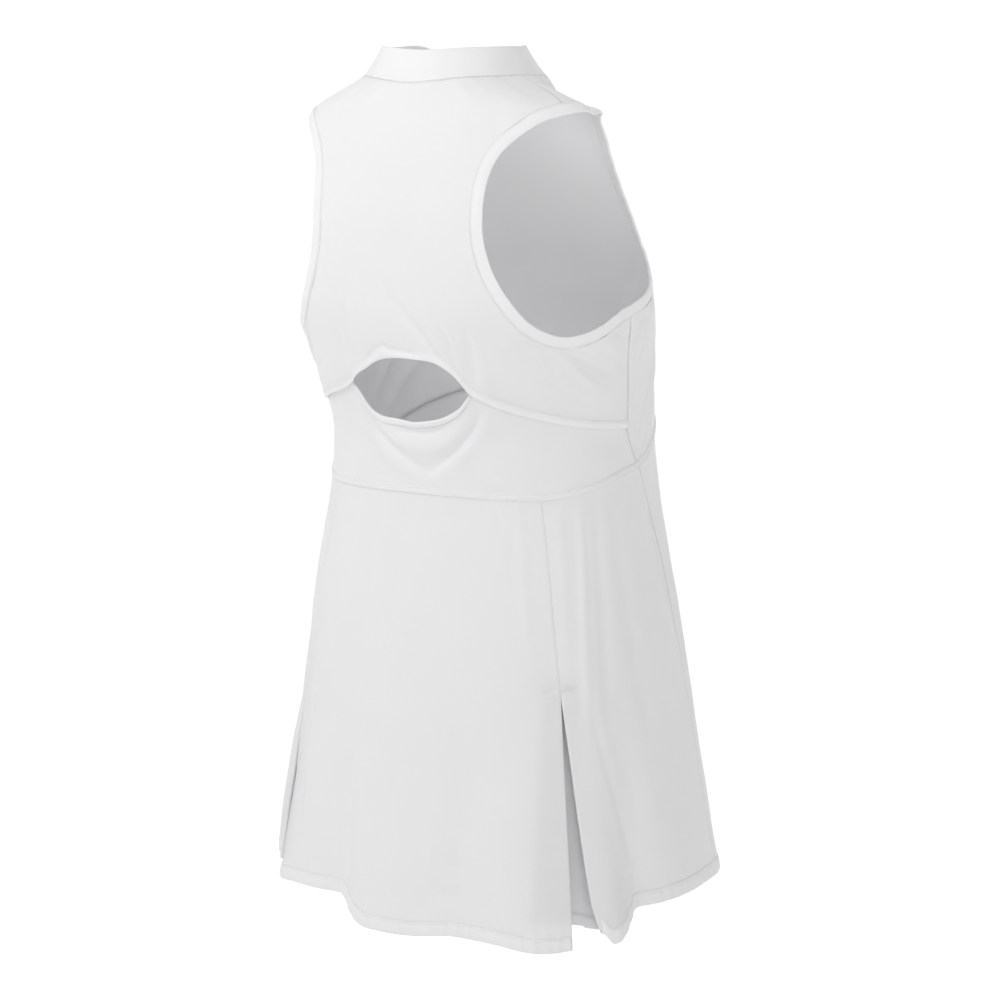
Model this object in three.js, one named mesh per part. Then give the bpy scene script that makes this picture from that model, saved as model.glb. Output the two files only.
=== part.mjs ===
// Sleeveless tennis dress in one-colour polyester knit, hanging filled out with no wearer.
// Millimetres, +Z up. The front faces -Y and the wearer's right side is -X. The origin lies
// midway between the shoulder tips, where the wearer's shoulders carry the dress.
// Every panel lies on one form, which is given by a ring of the body's outline at each height.
// A place on the form is an angle in degrees from centre back (0), over the wearer's right
// side (90), to centre front (180), and a height z.
import * as THREE from "three";

// Cloth
const LAYER = 1.2; // wall of one layer
const FOLDED = 2.2; // wall of a folded band
const HEM_EXTRA = 0.5; // how far a turned hem stands out of its panel
const HEM_STEP = 1.5; // height over which it does
const SEAM_GAP = 0.3;
const WAIST_GAP = 0.5;

// Widths of bands and hems
const ARMHOLE_BAND = 10;
const CUTOUT_BAND = 5;
const SKIRT_HEM = 12;
const YOKE_HEM = 8;

// Neck and collar: an oval seam round the base of the neck, and a smaller oval at the top edge
const NECK = { half: 85, back: 67, front: -80, centre: 2 };
const COLLAR_TOP = { half: 66, back: 56, front: -55, centre: 2 };
const COLLAR_RISE = 30; // height over the neck seam at centre back
const COLLAR_PARTS = 40;
const COLLAR_GAP = 0.7; // seam allowance turned up between the neck edge and the collar
const SHOULDER_SEAM_ANGLE = 76; // where the shoulder seam meets the neck seam

// Outline of the filled dress at each height: half width, the y of its widest place, of centre
// back and of centre front, and how square the back half (square) and front half (chest) are
const RINGS = [
  { z: -760, half: 225, wide: -64, back: 117, front: -242, square: 2.25, chest: 2.3 },
  { z: -680, half: 211, wide: -62, back: 104, front: -228, square: 2.25, chest: 2.3 },
  { z: -560, half: 189, wide: -58, back: 85, front: -206, square: 2.25, chest: 2.45 },
  { z: -450, half: 172, wide: -54, back: 70, front: -192, square: 2.25, chest: 2.45 },
  { z: -340, half: 153, wide: -50, back: 58, front: -180, square: 2.2, chest: 2.5 },
  { z: -295, half: 148, wide: -45, back: 61, front: -180, square: 2.2, chest: 2.55 },
  { z: -225, half: 156, wide: -33, back: 79, front: -172, square: 2.4, chest: 2.45 },
  { z: -160, half: 168, wide: -22, back: 93, front: -150, square: 2.65, chest: 2.3 },
  { z: -100, half: 169, wide: -12, back: 96, front: -118, square: 2.6, chest: 2.25 },
  { z: -45, half: 163, wide: -7, back: 90, front: -88, square: 2.3, chest: 2.25 },
  { z: -15, half: 157, wide: -4, back: 82, front: -75, square: 2.15, chest: 2.25 },
  { z: 0, half: 149, wide: -2, back: 76, front: -68, square: 2.1, chest: 2.25 },
  { z: 12, half: 124, wide: 0, back: 71, front: -61, square: 2.1, chest: 2.25 },
  { z: 22, half: 96, wide: 2, back: 66, front: -56, square: 2.1, chest: 2.25 },
  { z: 28, half: 78, wide: 2, back: 62, front: -52, square: 2.1, chest: 2.25 },
];

// Soft flutes of the skirt: where each runs, how wide it is, how far it stands out at the hem
// (a trough goes in), and the height at which it starts
const FLUTES = [
  { angle: -14, spread: 6, depth: -9, start: -520 },
  { angle: -3, spread: 8, depth: 6, start: -470 },
  { angle: 19, spread: 9, depth: -3, start: -470 },
  { angle: 37, spread: 10, depth: 6, start: -430 },
  { angle: 59, spread: 6, depth: 9, start: -345 },
  { angle: 70, spread: 5, depth: -9, start: -480 },
  { angle: 86, spread: 9, depth: 5, start: -420 },
  { angle: 128, spread: 12, depth: -4, start: -460 },
  { angle: 156, spread: 11, depth: 8, start: -420 },
  { angle: 181, spread: 10, depth: -6, start: -450 },
  { angle: 207, spread: 12, depth: 8, start: -410 },
  { angle: 238, spread: 11, depth: -6, start: -460 },
  { angle: 270, spread: 9, depth: 3, start: -430 },
  { angle: 289, spread: 7, depth: -6, start: -480 },
  { angle: 303, spread: 8, depth: -6, start: -500 },
  { angle: 327, spread: 8, depth: 3, start: -450 },
];
const FLUTE_END = -720;

// Edges that run round the dress: the height at each angle
const SKIRT_EDGE = [
  { angle: -180, z: -703 },
  { angle: -150, z: -700 },
  { angle: -120, z: -696 },
  { angle: -94, z: -694 },
  { angle: -72, z: -701 },
  { angle: -58, z: -711 },
  { angle: -46, z: -711 },
  { angle: -29, z: -704 },
  { angle: -15, z: -703 },
  { angle: -8, z: -716 },
  { angle: -3, z: -723 },
  { angle: 4, z: -724 },
  { angle: 16, z: -720 },
  { angle: 26, z: -722 },
  { angle: 39, z: -727 },
  { angle: 48, z: -725 },
  { angle: 58, z: -719 },
  { angle: 66, z: -706 },
  { angle: 70, z: -697 },
  { angle: 94, z: -691 },
  { angle: 120, z: -694 },
  { angle: 150, z: -701 },
  { angle: 180, z: -703 },
];
const WAIST_SEAM = [
  { angle: 0, z: -336 },
  { angle: 44, z: -337 },
  { angle: 66, z: -331 },
  { angle: 84, z: -322 },
  { angle: 95, z: -316 },
  { angle: 106, z: -304 },
  { angle: 120, z: -289 },
  { angle: 145, z: -272 },
  { angle: 180, z: -264 },
];
const YOKE_EDGE = [
  { angle: 0, z: -216 },
  { angle: 8, z: -218 },
  { angle: 13, z: -224 },
  { angle: 18, z: -235 },
  { angle: 21, z: -243 },
  { angle: 32, z: -258 },
  { angle: 47, z: -267 },
  { angle: 68, z: -276 },
  { angle: 92, z: -281 },
];
const WAIST_PANEL_TOP = [
  { angle: 0, z: -276 },
  { angle: 8, z: -272 },
  { angle: 13, z: -266.5 },
  { angle: 16.5, z: -260 },
  { angle: 21, z: -243.5 },
  { angle: 23, z: -239 },
  { angle: 27, z: -242 },
  { angle: 33, z: -248 },
  { angle: 47, z: -257 },
  { angle: 68, z: -266 },
  { angle: 92, z: -271 },
];
const CUTOUT_BAND_END = 21; // angle at which the cut-out's band ends, behind the yoke

// Edges that run down the dress: the angle at each height
const SIDE_SEAM = [
  { z: -740, angle: 108 },
  { z: -540, angle: 107 },
  { z: -407, angle: 104 },
  { z: -360, angle: 101 },
  { z: -317, angle: 96 },
  { z: -280, angle: 92 },
  { z: -150, angle: 91.5 },
];
const PLEAT_BACK_EDGE = [
  { z: -740, angle: 47.2 },
  { z: -503, angle: 47.8 },
  { z: -460, angle: 47 },
  { z: -390, angle: 46.1 },
  { z: -330, angle: 45 },
];
// Opening between the two folds of the pleat, in degrees
const PLEAT_OPENING = [
  { z: -740, angle: 11.5 },
  { z: -718, angle: 9.6 },
  { z: -688, angle: 6.2 },
  { z: -632, angle: 4.2 },
  { z: -563, angle: 2.3 },
  { z: -516, angle: 0.6 },
  { z: -500, angle: 0 },
  { z: -330, angle: 0 },
];
const PLEAT_TOP = -492; // top of the pleat's insert, just over the bar tack

// Opening edge of an armhole, from the shoulder seam down the back, under the arm and up the front
const ARMHOLE = [
  { angle: 67, z: -5.5 },
  { angle: 52, z: -14 },
  { angle: 36, z: -44 },
  { angle: 28, z: -92 },
  { angle: 30, z: -139 },
  { angle: 42, z: -180 },
  { angle: 58, z: -194.5 },
  { angle: 76, z: -187 },
  { angle: 91, z: -167 },
  { angle: 107, z: -151 },
  { angle: 122, z: -131 },
  { angle: 132, z: -97 },
  { angle: 134.5, z: -53 },
  { angle: 131, z: -15 },
  { angle: 108, z: -2 },
  { angle: 85, z: -3 },
];
const DEGREE_REACH = 2.6; // about how far a degree reaches round the bust, in millimetres
const ARMHOLE_LOWEST = 6; // rows of the table at the lowest point and at the side seam
const ARMHOLE_SIDE = 8;
const ARMHOLE_STEPS = 3; // parts in each stretch between two rows
const SHOULDER_EDGE = 4; // parts of the armhole's edge that run under the shoulder

// Colours
const cloth = (color, name) =>
  new THREE.MeshStandardMaterial({ color, roughness: 0.78, metalness: 0, name, side: THREE.FrontSide });
const KNIT = cloth(0xf1f1f3, "white knit");
const BAND_KNIT = cloth(0xf5f5f6, "white knit, folded band");
const UNDERLAY_KNIT = cloth(0xe4e4e8, "white knit, pleat underlay");

const dress = new THREE.Group();
const radians = THREE.MathUtils.degToRad;
const { lerp, clamp } = THREE.MathUtils;

// A smooth curve through a table's rows that never overshoots them
function smoothTable(rows, key, value) {
  const x = rows.map((row) => row[key]);
  const y = rows.map((row) => row[value]);
  const last = x.length - 1;
  const slope = x.slice(1).map((end, i) => (y[i + 1] - y[i]) / (end - x[i]));
  const tangent = x.map((_, i) => {
    if (i === 0) return slope[0];
    if (i === last) return slope[last - 1];
    const [before, after] = [slope[i - 1], slope[i]];
    return before * after <= 0 ? 0 : (2 * before * after) / (before + after);
  });
  return (at) => {
    if (at <= x[0]) return y[0] + (at - x[0]) * tangent[0];
    if (at >= x[last]) return y[last] + (at - x[last]) * tangent[last];
    const i = x.findIndex((end) => end > at) - 1;
    const width = x[i + 1] - x[i];
    const t = (at - x[i]) / width;
    const rise = y[i + 1] - y[i];
    const a = width * tangent[i] - rise;
    const b = rise - width * tangent[i + 1];
    return y[i] + t * rise + t * (1 - t) * (a * (1 - t) + b * t);
  };
}

const ring = {
  half: smoothTable(RINGS, "z", "half"),
  wide: smoothTable(RINGS, "z", "wide"),
  back: smoothTable(RINGS, "z", "back"),
  front: smoothTable(RINGS, "z", "front"),
  square: smoothTable(RINGS, "z", "square"),
  chest: smoothTable(RINGS, "z", "chest"),
};
const wrap = (angle) => THREE.MathUtils.euclideanModulo(angle + 180, 360) - 180;
const sideTable = (rows) => {
  const curve = smoothTable(rows, "angle", "z");
  return (angle) => curve(Math.abs(wrap(angle)));
};
const skirtEdgeCurve = smoothTable(SKIRT_EDGE, "angle", "z");
const skirtEdge = (angle) => skirtEdgeCurve(wrap(angle));
const waistSeam = sideTable(WAIST_SEAM);
const yokeEdge = sideTable(YOKE_EDGE);
const waistPanelTop = sideTable(WAIST_PANEL_TOP);
const sideSeam = smoothTable(SIDE_SEAM, "z", "angle");
const pleatBackEdge = smoothTable(PLEAT_BACK_EDGE, "z", "angle");
const pleatOpening = smoothTable(PLEAT_OPENING, "z", "angle");

// How far the flutes push the skirt out at a place
function fluteDepth(angle, z) {
  let depth = 0;
  for (const flute of FLUTES) {
    const t = clamp((flute.start - z) / (flute.start - FLUTE_END), 0, 1.1);
    if (t === 0) continue;
    const off = wrap(angle - flute.angle) / flute.spread;
    depth += flute.depth * t ** 1.3 * Math.exp(-off * off);
  }
  return depth;
}

const signedPower = (value, power) => Math.sign(value) * Math.abs(value) ** power;

// A point of the form
function formPoint(angle, z) {
  const side = Math.sin(radians(angle));
  const along = Math.cos(radians(angle));
  const half = ring.half(z);
  const wide = ring.wide(z);
  const power = 2 / (along > 0 ? ring.square(z) : ring.chest(z));
  const depth = along > 0 ? ring.back(z) - wide : wide - ring.front(z);
  const point = new THREE.Vector3(
    -half * signedPower(side, power),
    wide + depth * signedPower(along, power),
    z,
  );
  const out = new THREE.Vector3(point.x, point.y - wide, 0).normalize();
  return point.addScaledVector(out, fluteDepth(angle, z));
}

// Outward normal of any surface given as a function of two values
function normalOf(surface, u, v, du, dv) {
  const across = surface(u + du, v).sub(surface(u - du, v));
  const up = surface(u, v + dv).sub(surface(u, v - dv));
  return across.cross(up).normalize();
}
const formNormal = (angle, z) => normalOf(formPoint, angle, z, 0.5, 1);
const degreesFor = (length, angle, z) =>
  length / formPoint(angle + 0.5, z).distanceTo(formPoint(angle - 0.5, z));

// The place on the upper form that lies over a point of the plan
const ON_CENTRE = 1e-6; // a point this near the middle is on it
function dropOnForm(x, y) {
  let low = -70;
  let high = 27.5;
  const reach = (z) => {
    const wide = ring.wide(z);
    const power = y > wide ? ring.square(z) : ring.chest(z);
    const depth = y > wide ? ring.back(z) - wide : wide - ring.front(z);
    return (Math.abs(x) / ring.half(z)) ** power + (Math.abs(y - wide) / depth) ** power;
  };
  for (let i = 0; i < 40; i++) {
    const middle = (low + high) / 2;
    if (reach(middle) < 1) low = middle;
    else high = middle;
  }
  const z = (low + high) / 2;
  const wide = ring.wide(z);
  const power = y > wide ? ring.square(z) : ring.chest(z);
  const depth = y > wide ? ring.back(z) - wide : wide - ring.front(z);
  const along = clamp(signedPower((y - wide) / depth, power / 2), -1, 1);
  const turn = THREE.MathUtils.radToDeg(Math.acos(along));
  const angle = Math.abs(x) < ON_CENTRE ? Math.round(turn / 180) * 180 : turn;
  return { angle: x > 0 ? -angle : angle, z };
}
const ovalPoint = (oval, angle) => {
  const along = Math.cos(radians(angle));
  const depth = along > 0 ? oval.back - oval.centre : oval.centre - oval.front;
  return new THREE.Vector2(-oval.half * Math.sin(radians(angle)), oval.centre + depth * along);
};
// The neck seam, as a place on the form, at an angle round its oval
const neckSeam = (angle) => {
  const { x, y } = ovalPoint(NECK, angle);
  return dropOnForm(x, y);
};

// A closed wall on a surface. Each patch is a list of rows, and each row a list of places
// [u, v] with the column of its first place. Places that coincide are shared, so patches join.
function wall(name, patches, surface, material, inner, outer, [du, dv]) {
  const points = [];
  const seen = new Map();
  const indexOf = ([u, v]) => {
    const at = surface(u, v);
    const key = at.toArray().map((value) => Math.round(value * 1000) || 0).join(" ");
    if (!seen.has(key)) {
      seen.set(key, points.length);
      points.push({ at, normal: normalOf(surface, u, v, du, dv), place: [u, v] });
    }
    return seen.get(key);
  };
  const faces = [];
  const addFace = (a, b, c) => {
    if (a === b || b === c || c === a) return;
    const [pa, pb, pc] = [points[a].at, points[b].at, points[c].at];
    const facing = pb.clone().sub(pa).cross(pc.clone().sub(pa)).dot(points[a].normal);
    faces.push(facing >= 0 ? [a, b, c] : [a, c, b]);
  };
  for (const patch of patches) {
    for (let i = 0; i + 1 < patch.length; i++) {
      const [low, high] = [patch[i], patch[i + 1]];
      const first = Math.max(low.first, high.first);
      const last = Math.min(low.first + low.places.length, high.first + high.places.length) - 1;
      for (let column = first; column < last; column++) {
        const a = indexOf(low.places[column - low.first]);
        const b = indexOf(low.places[column + 1 - low.first]);
        const c = indexOf(high.places[column + 1 - high.first]);
        const d = indexOf(high.places[column - high.first]);
        addFace(a, b, c);
        addFace(a, c, d);
      }
    }
  }
  const edges = new Set(faces.flatMap(([a, b, c]) => [`${a} ${b}`, `${b} ${c}`, `${c} ${a}`]));
  const count = points.length;
  const index = [];
  for (const [a, b, c] of faces) {
    index.push(a, b, c, a + count, c + count, b + count);
  }
  for (const edge of edges) {
    const [a, b] = edge.split(" ").map(Number);
    if (!edges.has(`${b} ${a}`)) index.push(b, a, a + count, b, a + count, b + count);
  }
  const shifted = (depth) =>
    points.flatMap(({ at, normal, place }) => at.clone().addScaledVector(normal, depth(place)).toArray());
  const geometry = new THREE.BufferGeometry();
  geometry.setAttribute(
    "position",
    new THREE.Float32BufferAttribute([...shifted(outer), ...shifted(inner)], 3),
  );
  geometry.setIndex(index);
  geometry.computeVertexNormals();
  const mesh = new THREE.Mesh(geometry, material);
  mesh.name = name;
  dress.add(mesh);
}
const FORM_STEP = [0.5, 1];
const panel = (name, patches, options = {}) => {
  const { lift = () => 0, extra = () => 0, thick = LAYER, material = KNIT } = options;
  wall(
    name,
    patches,
    formPoint,
    material,
    (place) => lift(place) - thick / 2,
    (place) => lift(place) + extra(place) + thick / 2,
    FORM_STEP,
  );
};
const steps = (count) => Array.from({ length: count + 1 }, (_, i) => i / count);
const mirrored = (patches) =>
  patches.map((patch) => patch.map(({ first, places }) => ({ first, places: places.map(([u, v]) => [-u, v]) })));

// Armhole: the opening edge, and the same curve moved out over the form by a distance
const armholeCurve = new THREE.CatmullRomCurve3(
  ARMHOLE.map(({ angle, z }) => new THREE.Vector3(angle * DEGREE_REACH, z, 0)),
  true,
  "centripetal",
);
const armholePoints = (() => {
  const count = ARMHOLE.length * ARMHOLE_STEPS;
  return Array.from({ length: count }, (_, i) => {
    const { x, y } = armholeCurve.getPoint(i / count);
    return { angle: x / DEGREE_REACH, z: y };
  });
})();
const ARMHOLE_MIDDLE = { angle: 82, z: -95 };
function armholeEdge(distance) {
  const count = armholePoints.length;
  const middle = formPoint(ARMHOLE_MIDDLE.angle, ARMHOLE_MIDDLE.z);
  return armholePoints.map(({ angle, z }, i) => {
    const before = armholePoints[(i + count - 1) % count];
    const after = armholePoints[(i + 1) % count];
    const at = formPoint(angle, z);
    const along = formPoint(after.angle, after.z).sub(formPoint(before.angle, before.z));
    const away = formNormal(angle, z).cross(along).normalize();
    if (away.dot(at.clone().sub(middle)) < 0) away.negate();
    const perDegree = formPoint(angle + 0.5, z).sub(formPoint(angle - 0.5, z));
    const perHeight = formPoint(angle, z + 0.5).sub(formPoint(angle, z - 0.5));
    const [aa, ab, bb] = [perDegree.dot(perDegree), perDegree.dot(perHeight), perHeight.dot(perHeight)];
    const [ra, rb] = [perDegree.dot(away), perHeight.dot(away)];
    const scale = distance / (aa * bb - ab * ab);
    return {
      angle: angle + (ra * bb - rb * ab) * scale,
      z: z + (rb * aa - ra * ab) * scale,
    };
  });
}
const LOWEST = ARMHOLE_LOWEST * ARMHOLE_STEPS;
const SIDE = ARMHOLE_SIDE * ARMHOLE_STEPS;
const panelEdge = armholeEdge(ARMHOLE_BAND + SEAM_GAP);
const sideGap = (z) => degreesFor(SEAM_GAP / 2, 90, z);

// Upper back: from its hem over the shoulder blades to the neck seam and the shoulder seams
const BACK_COLUMNS = [0, 4, 8, 12, 16, 21, 27, 33, 40, 48, 57]; // spacing of the columns, in degrees
const BACK_BOW_START = -60; // above this height the rows dip towards centre back
const BACK_BOW = 0.8;
const YOKE_LIFT = 0.9; // how far the hem's end stands over the waist panel
const YOKE_LIFT_FADE = [22, 60]; // and the stretch over the hem where it comes back to the form
function upperBack() {
  const middleFractions = BACK_COLUMNS.map((angle) => angle / BACK_COLUMNS.at(-1));
  const inner = middleFractions.length - 1;
  const lowest = panelEdge[LOWEST];
  const under = panelEdge.slice(LOWEST + 1, SIDE + 1);
  const sideTop = panelEdge[SIDE].z;
  const sideLimit = sideSeam(sideTop) - sideGap(sideTop);
  const underAngles = under.map(({ angle }) => Math.min(angle, sideLimit));
  underAngles[underAngles.length - 1] = sideLimit;
  const halfAngles = [...middleFractions.map((part) => part * lowest.angle), ...underAngles];
  const halfTops = [
    ...middleFractions.map(() => lowest.z),
    ...under.map(({ z }) => z),
  ];
  const both = (list, sign = 1) => [...list.slice(1).reverse().map((value) => sign * value), ...list];
  const angles = both(halfAngles, -1);
  const tops = both(halfTops);
  const outerColumn = halfAngles.length - 1;
  const rows = [];
  const hemRows = [0, YOKE_HEM, YOKE_HEM + HEM_STEP];
  const addBelow = (heightAt) =>
    rows.push({ first: -outerColumn, places: angles.map((angle, i) => [angle, heightAt(angle, tops[i])]) });
  for (const rise of hemRows) addBelow((angle) => yokeEdge(angle) + rise);
  for (const part of [0.25, 0.5, 0.75, 1]) {
    addBelow((angle, top) => lerp(yokeEdge(angle) + YOKE_HEM + HEM_STEP, top, part));
  }
  const fractions = both(middleFractions, -1);
  const crossRow = ({ angle, z }) => {
    const middle = z < BACK_BOW_START ? z : lerp(BACK_BOW_START, z, BACK_BOW);
    return fractions.map((part) => [part * angle, lerp(middle, z, part * part)]);
  };
  for (let i = LOWEST - 1; i >= SHOULDER_EDGE; i--) {
    rows.push({ first: -inner, places: crossRow(panelEdge[i]) });
  }
  const edgePlaces = panelEdge.slice(0, SHOULDER_EDGE).map(({ angle, z }) => [angle, z]);
  const low = [
    ...edgePlaces.map(([angle, z]) => [-angle, z]),
    ...crossRow(panelEdge[SHOULDER_EDGE]),
    ...edgePlaces.reverse(),
  ];
  const shoulderColumns = inner + SHOULDER_EDGE;
  for (const part of steps(5)) {
    rows.push({
      first: -shoulderColumns,
      places: low.map(([angle, z]) => {
        const top = neckSeam((angle / panelEdge[0].angle) * SHOULDER_SEAM_ANGLE);
        return [lerp(angle, top.angle, part), lerp(z, top.z - COLLAR_GAP / 2, part)];
      }),
    });
  }
  const overHem = ([angle, z]) => z - yokeEdge(angle);
  panel("upper_back", [rows], {
    lift: (place) => YOKE_LIFT * (1 - THREE.MathUtils.smoothstep(overHem(place), ...YOKE_LIFT_FADE)),
    extra: (place) => (overHem(place) < YOKE_HEM + 1 ? HEM_EXTRA : 0),
  });
}
// The waist panel's top sits back under the yoke's hem
const WAIST_PANEL_DROP = -1.1;
const WAIST_PANEL_FADE = [15, 50]; // heights over the waist seam between which it goes back
const waistPanelLift = ([angle, z]) =>
  WAIST_PANEL_DROP * THREE.MathUtils.smoothstep(z - waistSeam(angle), ...WAIST_PANEL_FADE);

// The waist panel's side edge, from the waist seam to its top behind the yoke's hem
const SIDE_BOTTOM = waistSeam(sideSeam(-317)) + WAIST_GAP / 2;
const SIDE_LAP = waistPanelTop(sideSeam(-270));
const WAIST_PANEL_ROWS = 6;

// Waist panel under the yoke, scooped along the cut-out
function waistPanel() {
  const half = [0, 4, 8, 11, 14, 16.5, 19, CUTOUT_BAND_END, CUTOUT_BAND_END + 0.2, 27, 33, 40, 48, 57, 68, 79];
  const angles = [...half.slice(1).reverse().map((angle) => -angle), ...half];
  const scoop = (angle) =>
    waistPanelTop(angle) - (Math.abs(angle) <= CUTOUT_BAND_END ? CUTOUT_BAND + SEAM_GAP : 0);
  const row = (part) => {
    const place = (angle) => [angle, lerp(waistSeam(angle) + WAIST_GAP / 2, scoop(angle), part)];
    const limit = (sign) => {
      const z = lerp(SIDE_BOTTOM, SIDE_LAP, part);
      return [sign * (sideSeam(z) - sideGap(z)), z];
    };
    return { first: 0, places: [limit(-1), ...angles.map(place), limit(1)] };
  };
  panel("waist_panel_back", [steps(WAIST_PANEL_ROWS).map(row)], { lift: waistPanelLift });
  const ends = angles.filter((angle) => Math.abs(angle) <= CUTOUT_BAND_END);
  const bandRow = (rise) => ({
    first: 0,
    places: ends.map((angle) => [angle, waistPanelTop(angle) - rise]),
  });
  panel("cutout_band", [[bandRow(CUTOUT_BAND), bandRow(0)]], {
    lift: waistPanelLift,
    thick: FOLDED,
    material: BAND_KNIT,
  });
}

// Front bodice: from the waist seam over the bust to the neck seam and over the shoulders.
// Its rows are higher at centre front than at the armhole, first a little and then up to the neck.
const FRONT_RISE = 8;
const NECK_DIP = 22; // how far under the neck's lowest point the shoulders' rows start
const CHEST_BEND = 1.5; // how the rows bend from centre front to the armhole
const SHOULDER_BEND = 0.7;
function frontBodice() {
  const columns = [0, 0.12, 0.25, 0.38, 0.5, 0.62, 0.74, 0.87, 1];
  const inner = columns.length - 1;
  const neckEnd = 180 - SHOULDER_SEAM_ANGLE;
  const rows = [];
  const fullRow = (halfWidth, heightAt) => {
    const place = (sign, part) => [180 + sign * part * halfWidth, heightAt(part)];
    const right = columns.slice(1).reverse().map((part) => place(-1, part));
    const left = columns.map((part) => place(1, part));
    return { first: -inner, places: [...right, ...left] };
  };
  const edge = panelEdge.slice(SIDE).concat(panelEdge[0]);
  const fromFront = ({ angle, z }) => ({ half: 180 - angle, z });
  const side = fromFront(edge[0]);
  const sideHeights = [
    ...steps(WAIST_PANEL_ROWS).map((part) => lerp(SIDE_BOTTOM, SIDE_LAP, part)),
    ...steps(5).slice(1).map((part) => lerp(SIDE_LAP, side.z, part)),
  ];
  for (const z of sideHeights) {
    const part = (z - SIDE_BOTTOM) / (side.z - SIDE_BOTTOM);
    const half = z === side.z ? side.half : 180 - sideSeam(z) - sideGap(z);
    rows.push(fullRow(half, (column) => {
      if (column === 1) return z;
      const low = waistSeam(180 - column * half) + WAIST_GAP / 2;
      return lerp(low, lerp(side.z + FRONT_RISE, side.z, column), part);
    }));
  }
  // The armhole's edge is followed up to the height of the neck's lowest point, and then each
  // shoulder is filled between the neck seam and the armhole
  const neckLow = neckSeam(180).z - COLLAR_GAP / 2;
  const split = edge.findIndex(({ z }) => z > neckLow - NECK_DIP);
  const ends = edge.map(fromFront);
  for (let i = 1; i <= split; i++) {
    const rise = (ends[i].z - ends[0].z) / (ends[split].z - ends[0].z);
    const middle = lerp(side.z + FRONT_RISE, neckLow, rise);
    const bend = lerp(CHEST_BEND, SHOULDER_BEND, rise);
    rows.push(fullRow(ends[i].half, (column) => lerp(middle, ends[i].z, column ** bend)));
  }
  const shoulder = (sign) => {
    const list = [];
    const last = ends.length - 1;
    for (let i = split; i <= last; i++) {
      const part = (i - split) / (last - split);
      const neck = neckSeam(180 - neckEnd * part);
      const start = { half: 180 - neck.angle, z: neck.z - COLLAR_GAP / 2 };
      const seamGap = i === last ? 2 * sideGap(ends[i].z) : 0;
      const places = columns.map((column) => [
        180 + sign * (lerp(start.half, ends[i].half, column) - seamGap),
        i === split ? lerp(neckLow, ends[i].z, column ** SHOULDER_BEND) : lerp(start.z, ends[i].z, column),
      ]);
      list.push({ first: 0, places });
    }
    return list;
  };
  panel("front_bodice", [rows, shoulder(-1), shoulder(1)]);
}

function armholeBands() {
  const outer = armholeEdge(ARMHOLE_BAND);
  const rows = [...armholePoints, armholePoints[0]].map((opening, i) => {
    const seam = outer[i % outer.length];
    return { first: 0, places: [opening, seam].map(({ angle, z }) => [angle, z]) };
  });
  const options = { thick: FOLDED, material: BAND_KNIT };
  panel("armhole_band_right", [rows], options);
  panel("armhole_band_left", mirrored([rows]), options);
}

// Stand collar: a folded band from the neck seam up to its own smaller oval
const COLLAR_BOW = 2.5; // how far its sides curve in
function collar() {
  const rim = neckSeam(0).z + COLLAR_RISE;
  const collarPoint = (angle, part) => {
    const seam = neckSeam(angle);
    const low = formPoint(seam.angle, seam.z + COLLAR_GAP / 2);
    const { x, y } = ovalPoint(COLLAR_TOP, angle);
    const height = lerp(rim, seam.z + COLLAR_RISE, THREE.MathUtils.smoothstep(-Math.cos(radians(angle)), 0, 1));
    const high = new THREE.Vector3(x, y, height);
    const bow = COLLAR_BOW * Math.sin(Math.PI * part);
    return low.lerp(high, part).add(new THREE.Vector3(0, 0, -bow));
  };
  const rows = steps(4).map((part) => ({
    first: 0,
    places: steps(COLLAR_PARTS).map((turn) => [turn * 360 - 180, part]),
  }));
  const half = () => FOLDED / 2;
  wall("collar", [rows], collarPoint, BAND_KNIT, (place) => -half(place), half, [1, 0.02]);
}

// Skirt: each row is a part of the way from the hem to the waist seam
const SKIRT_LENGTH = 385; // about the height from the hem to the waist seam at centre back
const HEM_PART = SKIRT_HEM / SKIRT_LENGTH;
const HEM_TOP = (SKIRT_HEM + HEM_STEP) / SKIRT_LENGTH;
const SKIRT_ROWS = [0, HEM_PART, ...steps(11).map((part) => lerp(HEM_TOP, 1, part))];
const skirtHeight = (angle, part) => lerp(skirtEdge(angle), waistSeam(angle) - WAIST_GAP / 2, part);
// Where a seam that runs down the skirt crosses a row
function seamCrossing(seam, part) {
  let angle = seam(FLUTE_END);
  for (let i = 0; i < 8; i++) angle = seam(skirtHeight(angle, part));
  return angle;
}
const skirtHemExtra = ([angle, z]) => (z - skirtEdge(angle) < SKIRT_HEM + 0.5 ? HEM_EXTRA : 0);
function skirtPanel(name, fromSeam, toSeam, columns) {
  const rows = SKIRT_ROWS.map((part) => {
    const from = seamCrossing(fromSeam, part);
    const to = seamCrossing(toSeam, part);
    return {
      first: 0,
      places: steps(columns).map((column) => {
        const angle = lerp(from, to, column);
        return [angle, skirtHeight(angle, part)];
      }),
    };
  });
  panel(name, [rows], { extra: skirtHemExtra });
}
const pleatSideEdge = (z) => pleatBackEdge(z) + pleatOpening(z) + 2 * sideGap(z);
function skirt() {
  const sideBack = (z) => sideSeam(z) - sideGap(z);
  const sideFront = (z) => sideSeam(z) + sideGap(z);
  skirtPanel("skirt_back", (z) => -pleatBackEdge(z), pleatBackEdge, 26);
  skirtPanel("skirt_side_right", pleatSideEdge, sideBack, 14);
  skirtPanel("skirt_side_left", (z) => -sideBack(z), (z) => -pleatSideEdge(z), 14);
  skirtPanel("skirt_front", sideFront, (z) => 360 - sideFront(z), 30);
}

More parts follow.
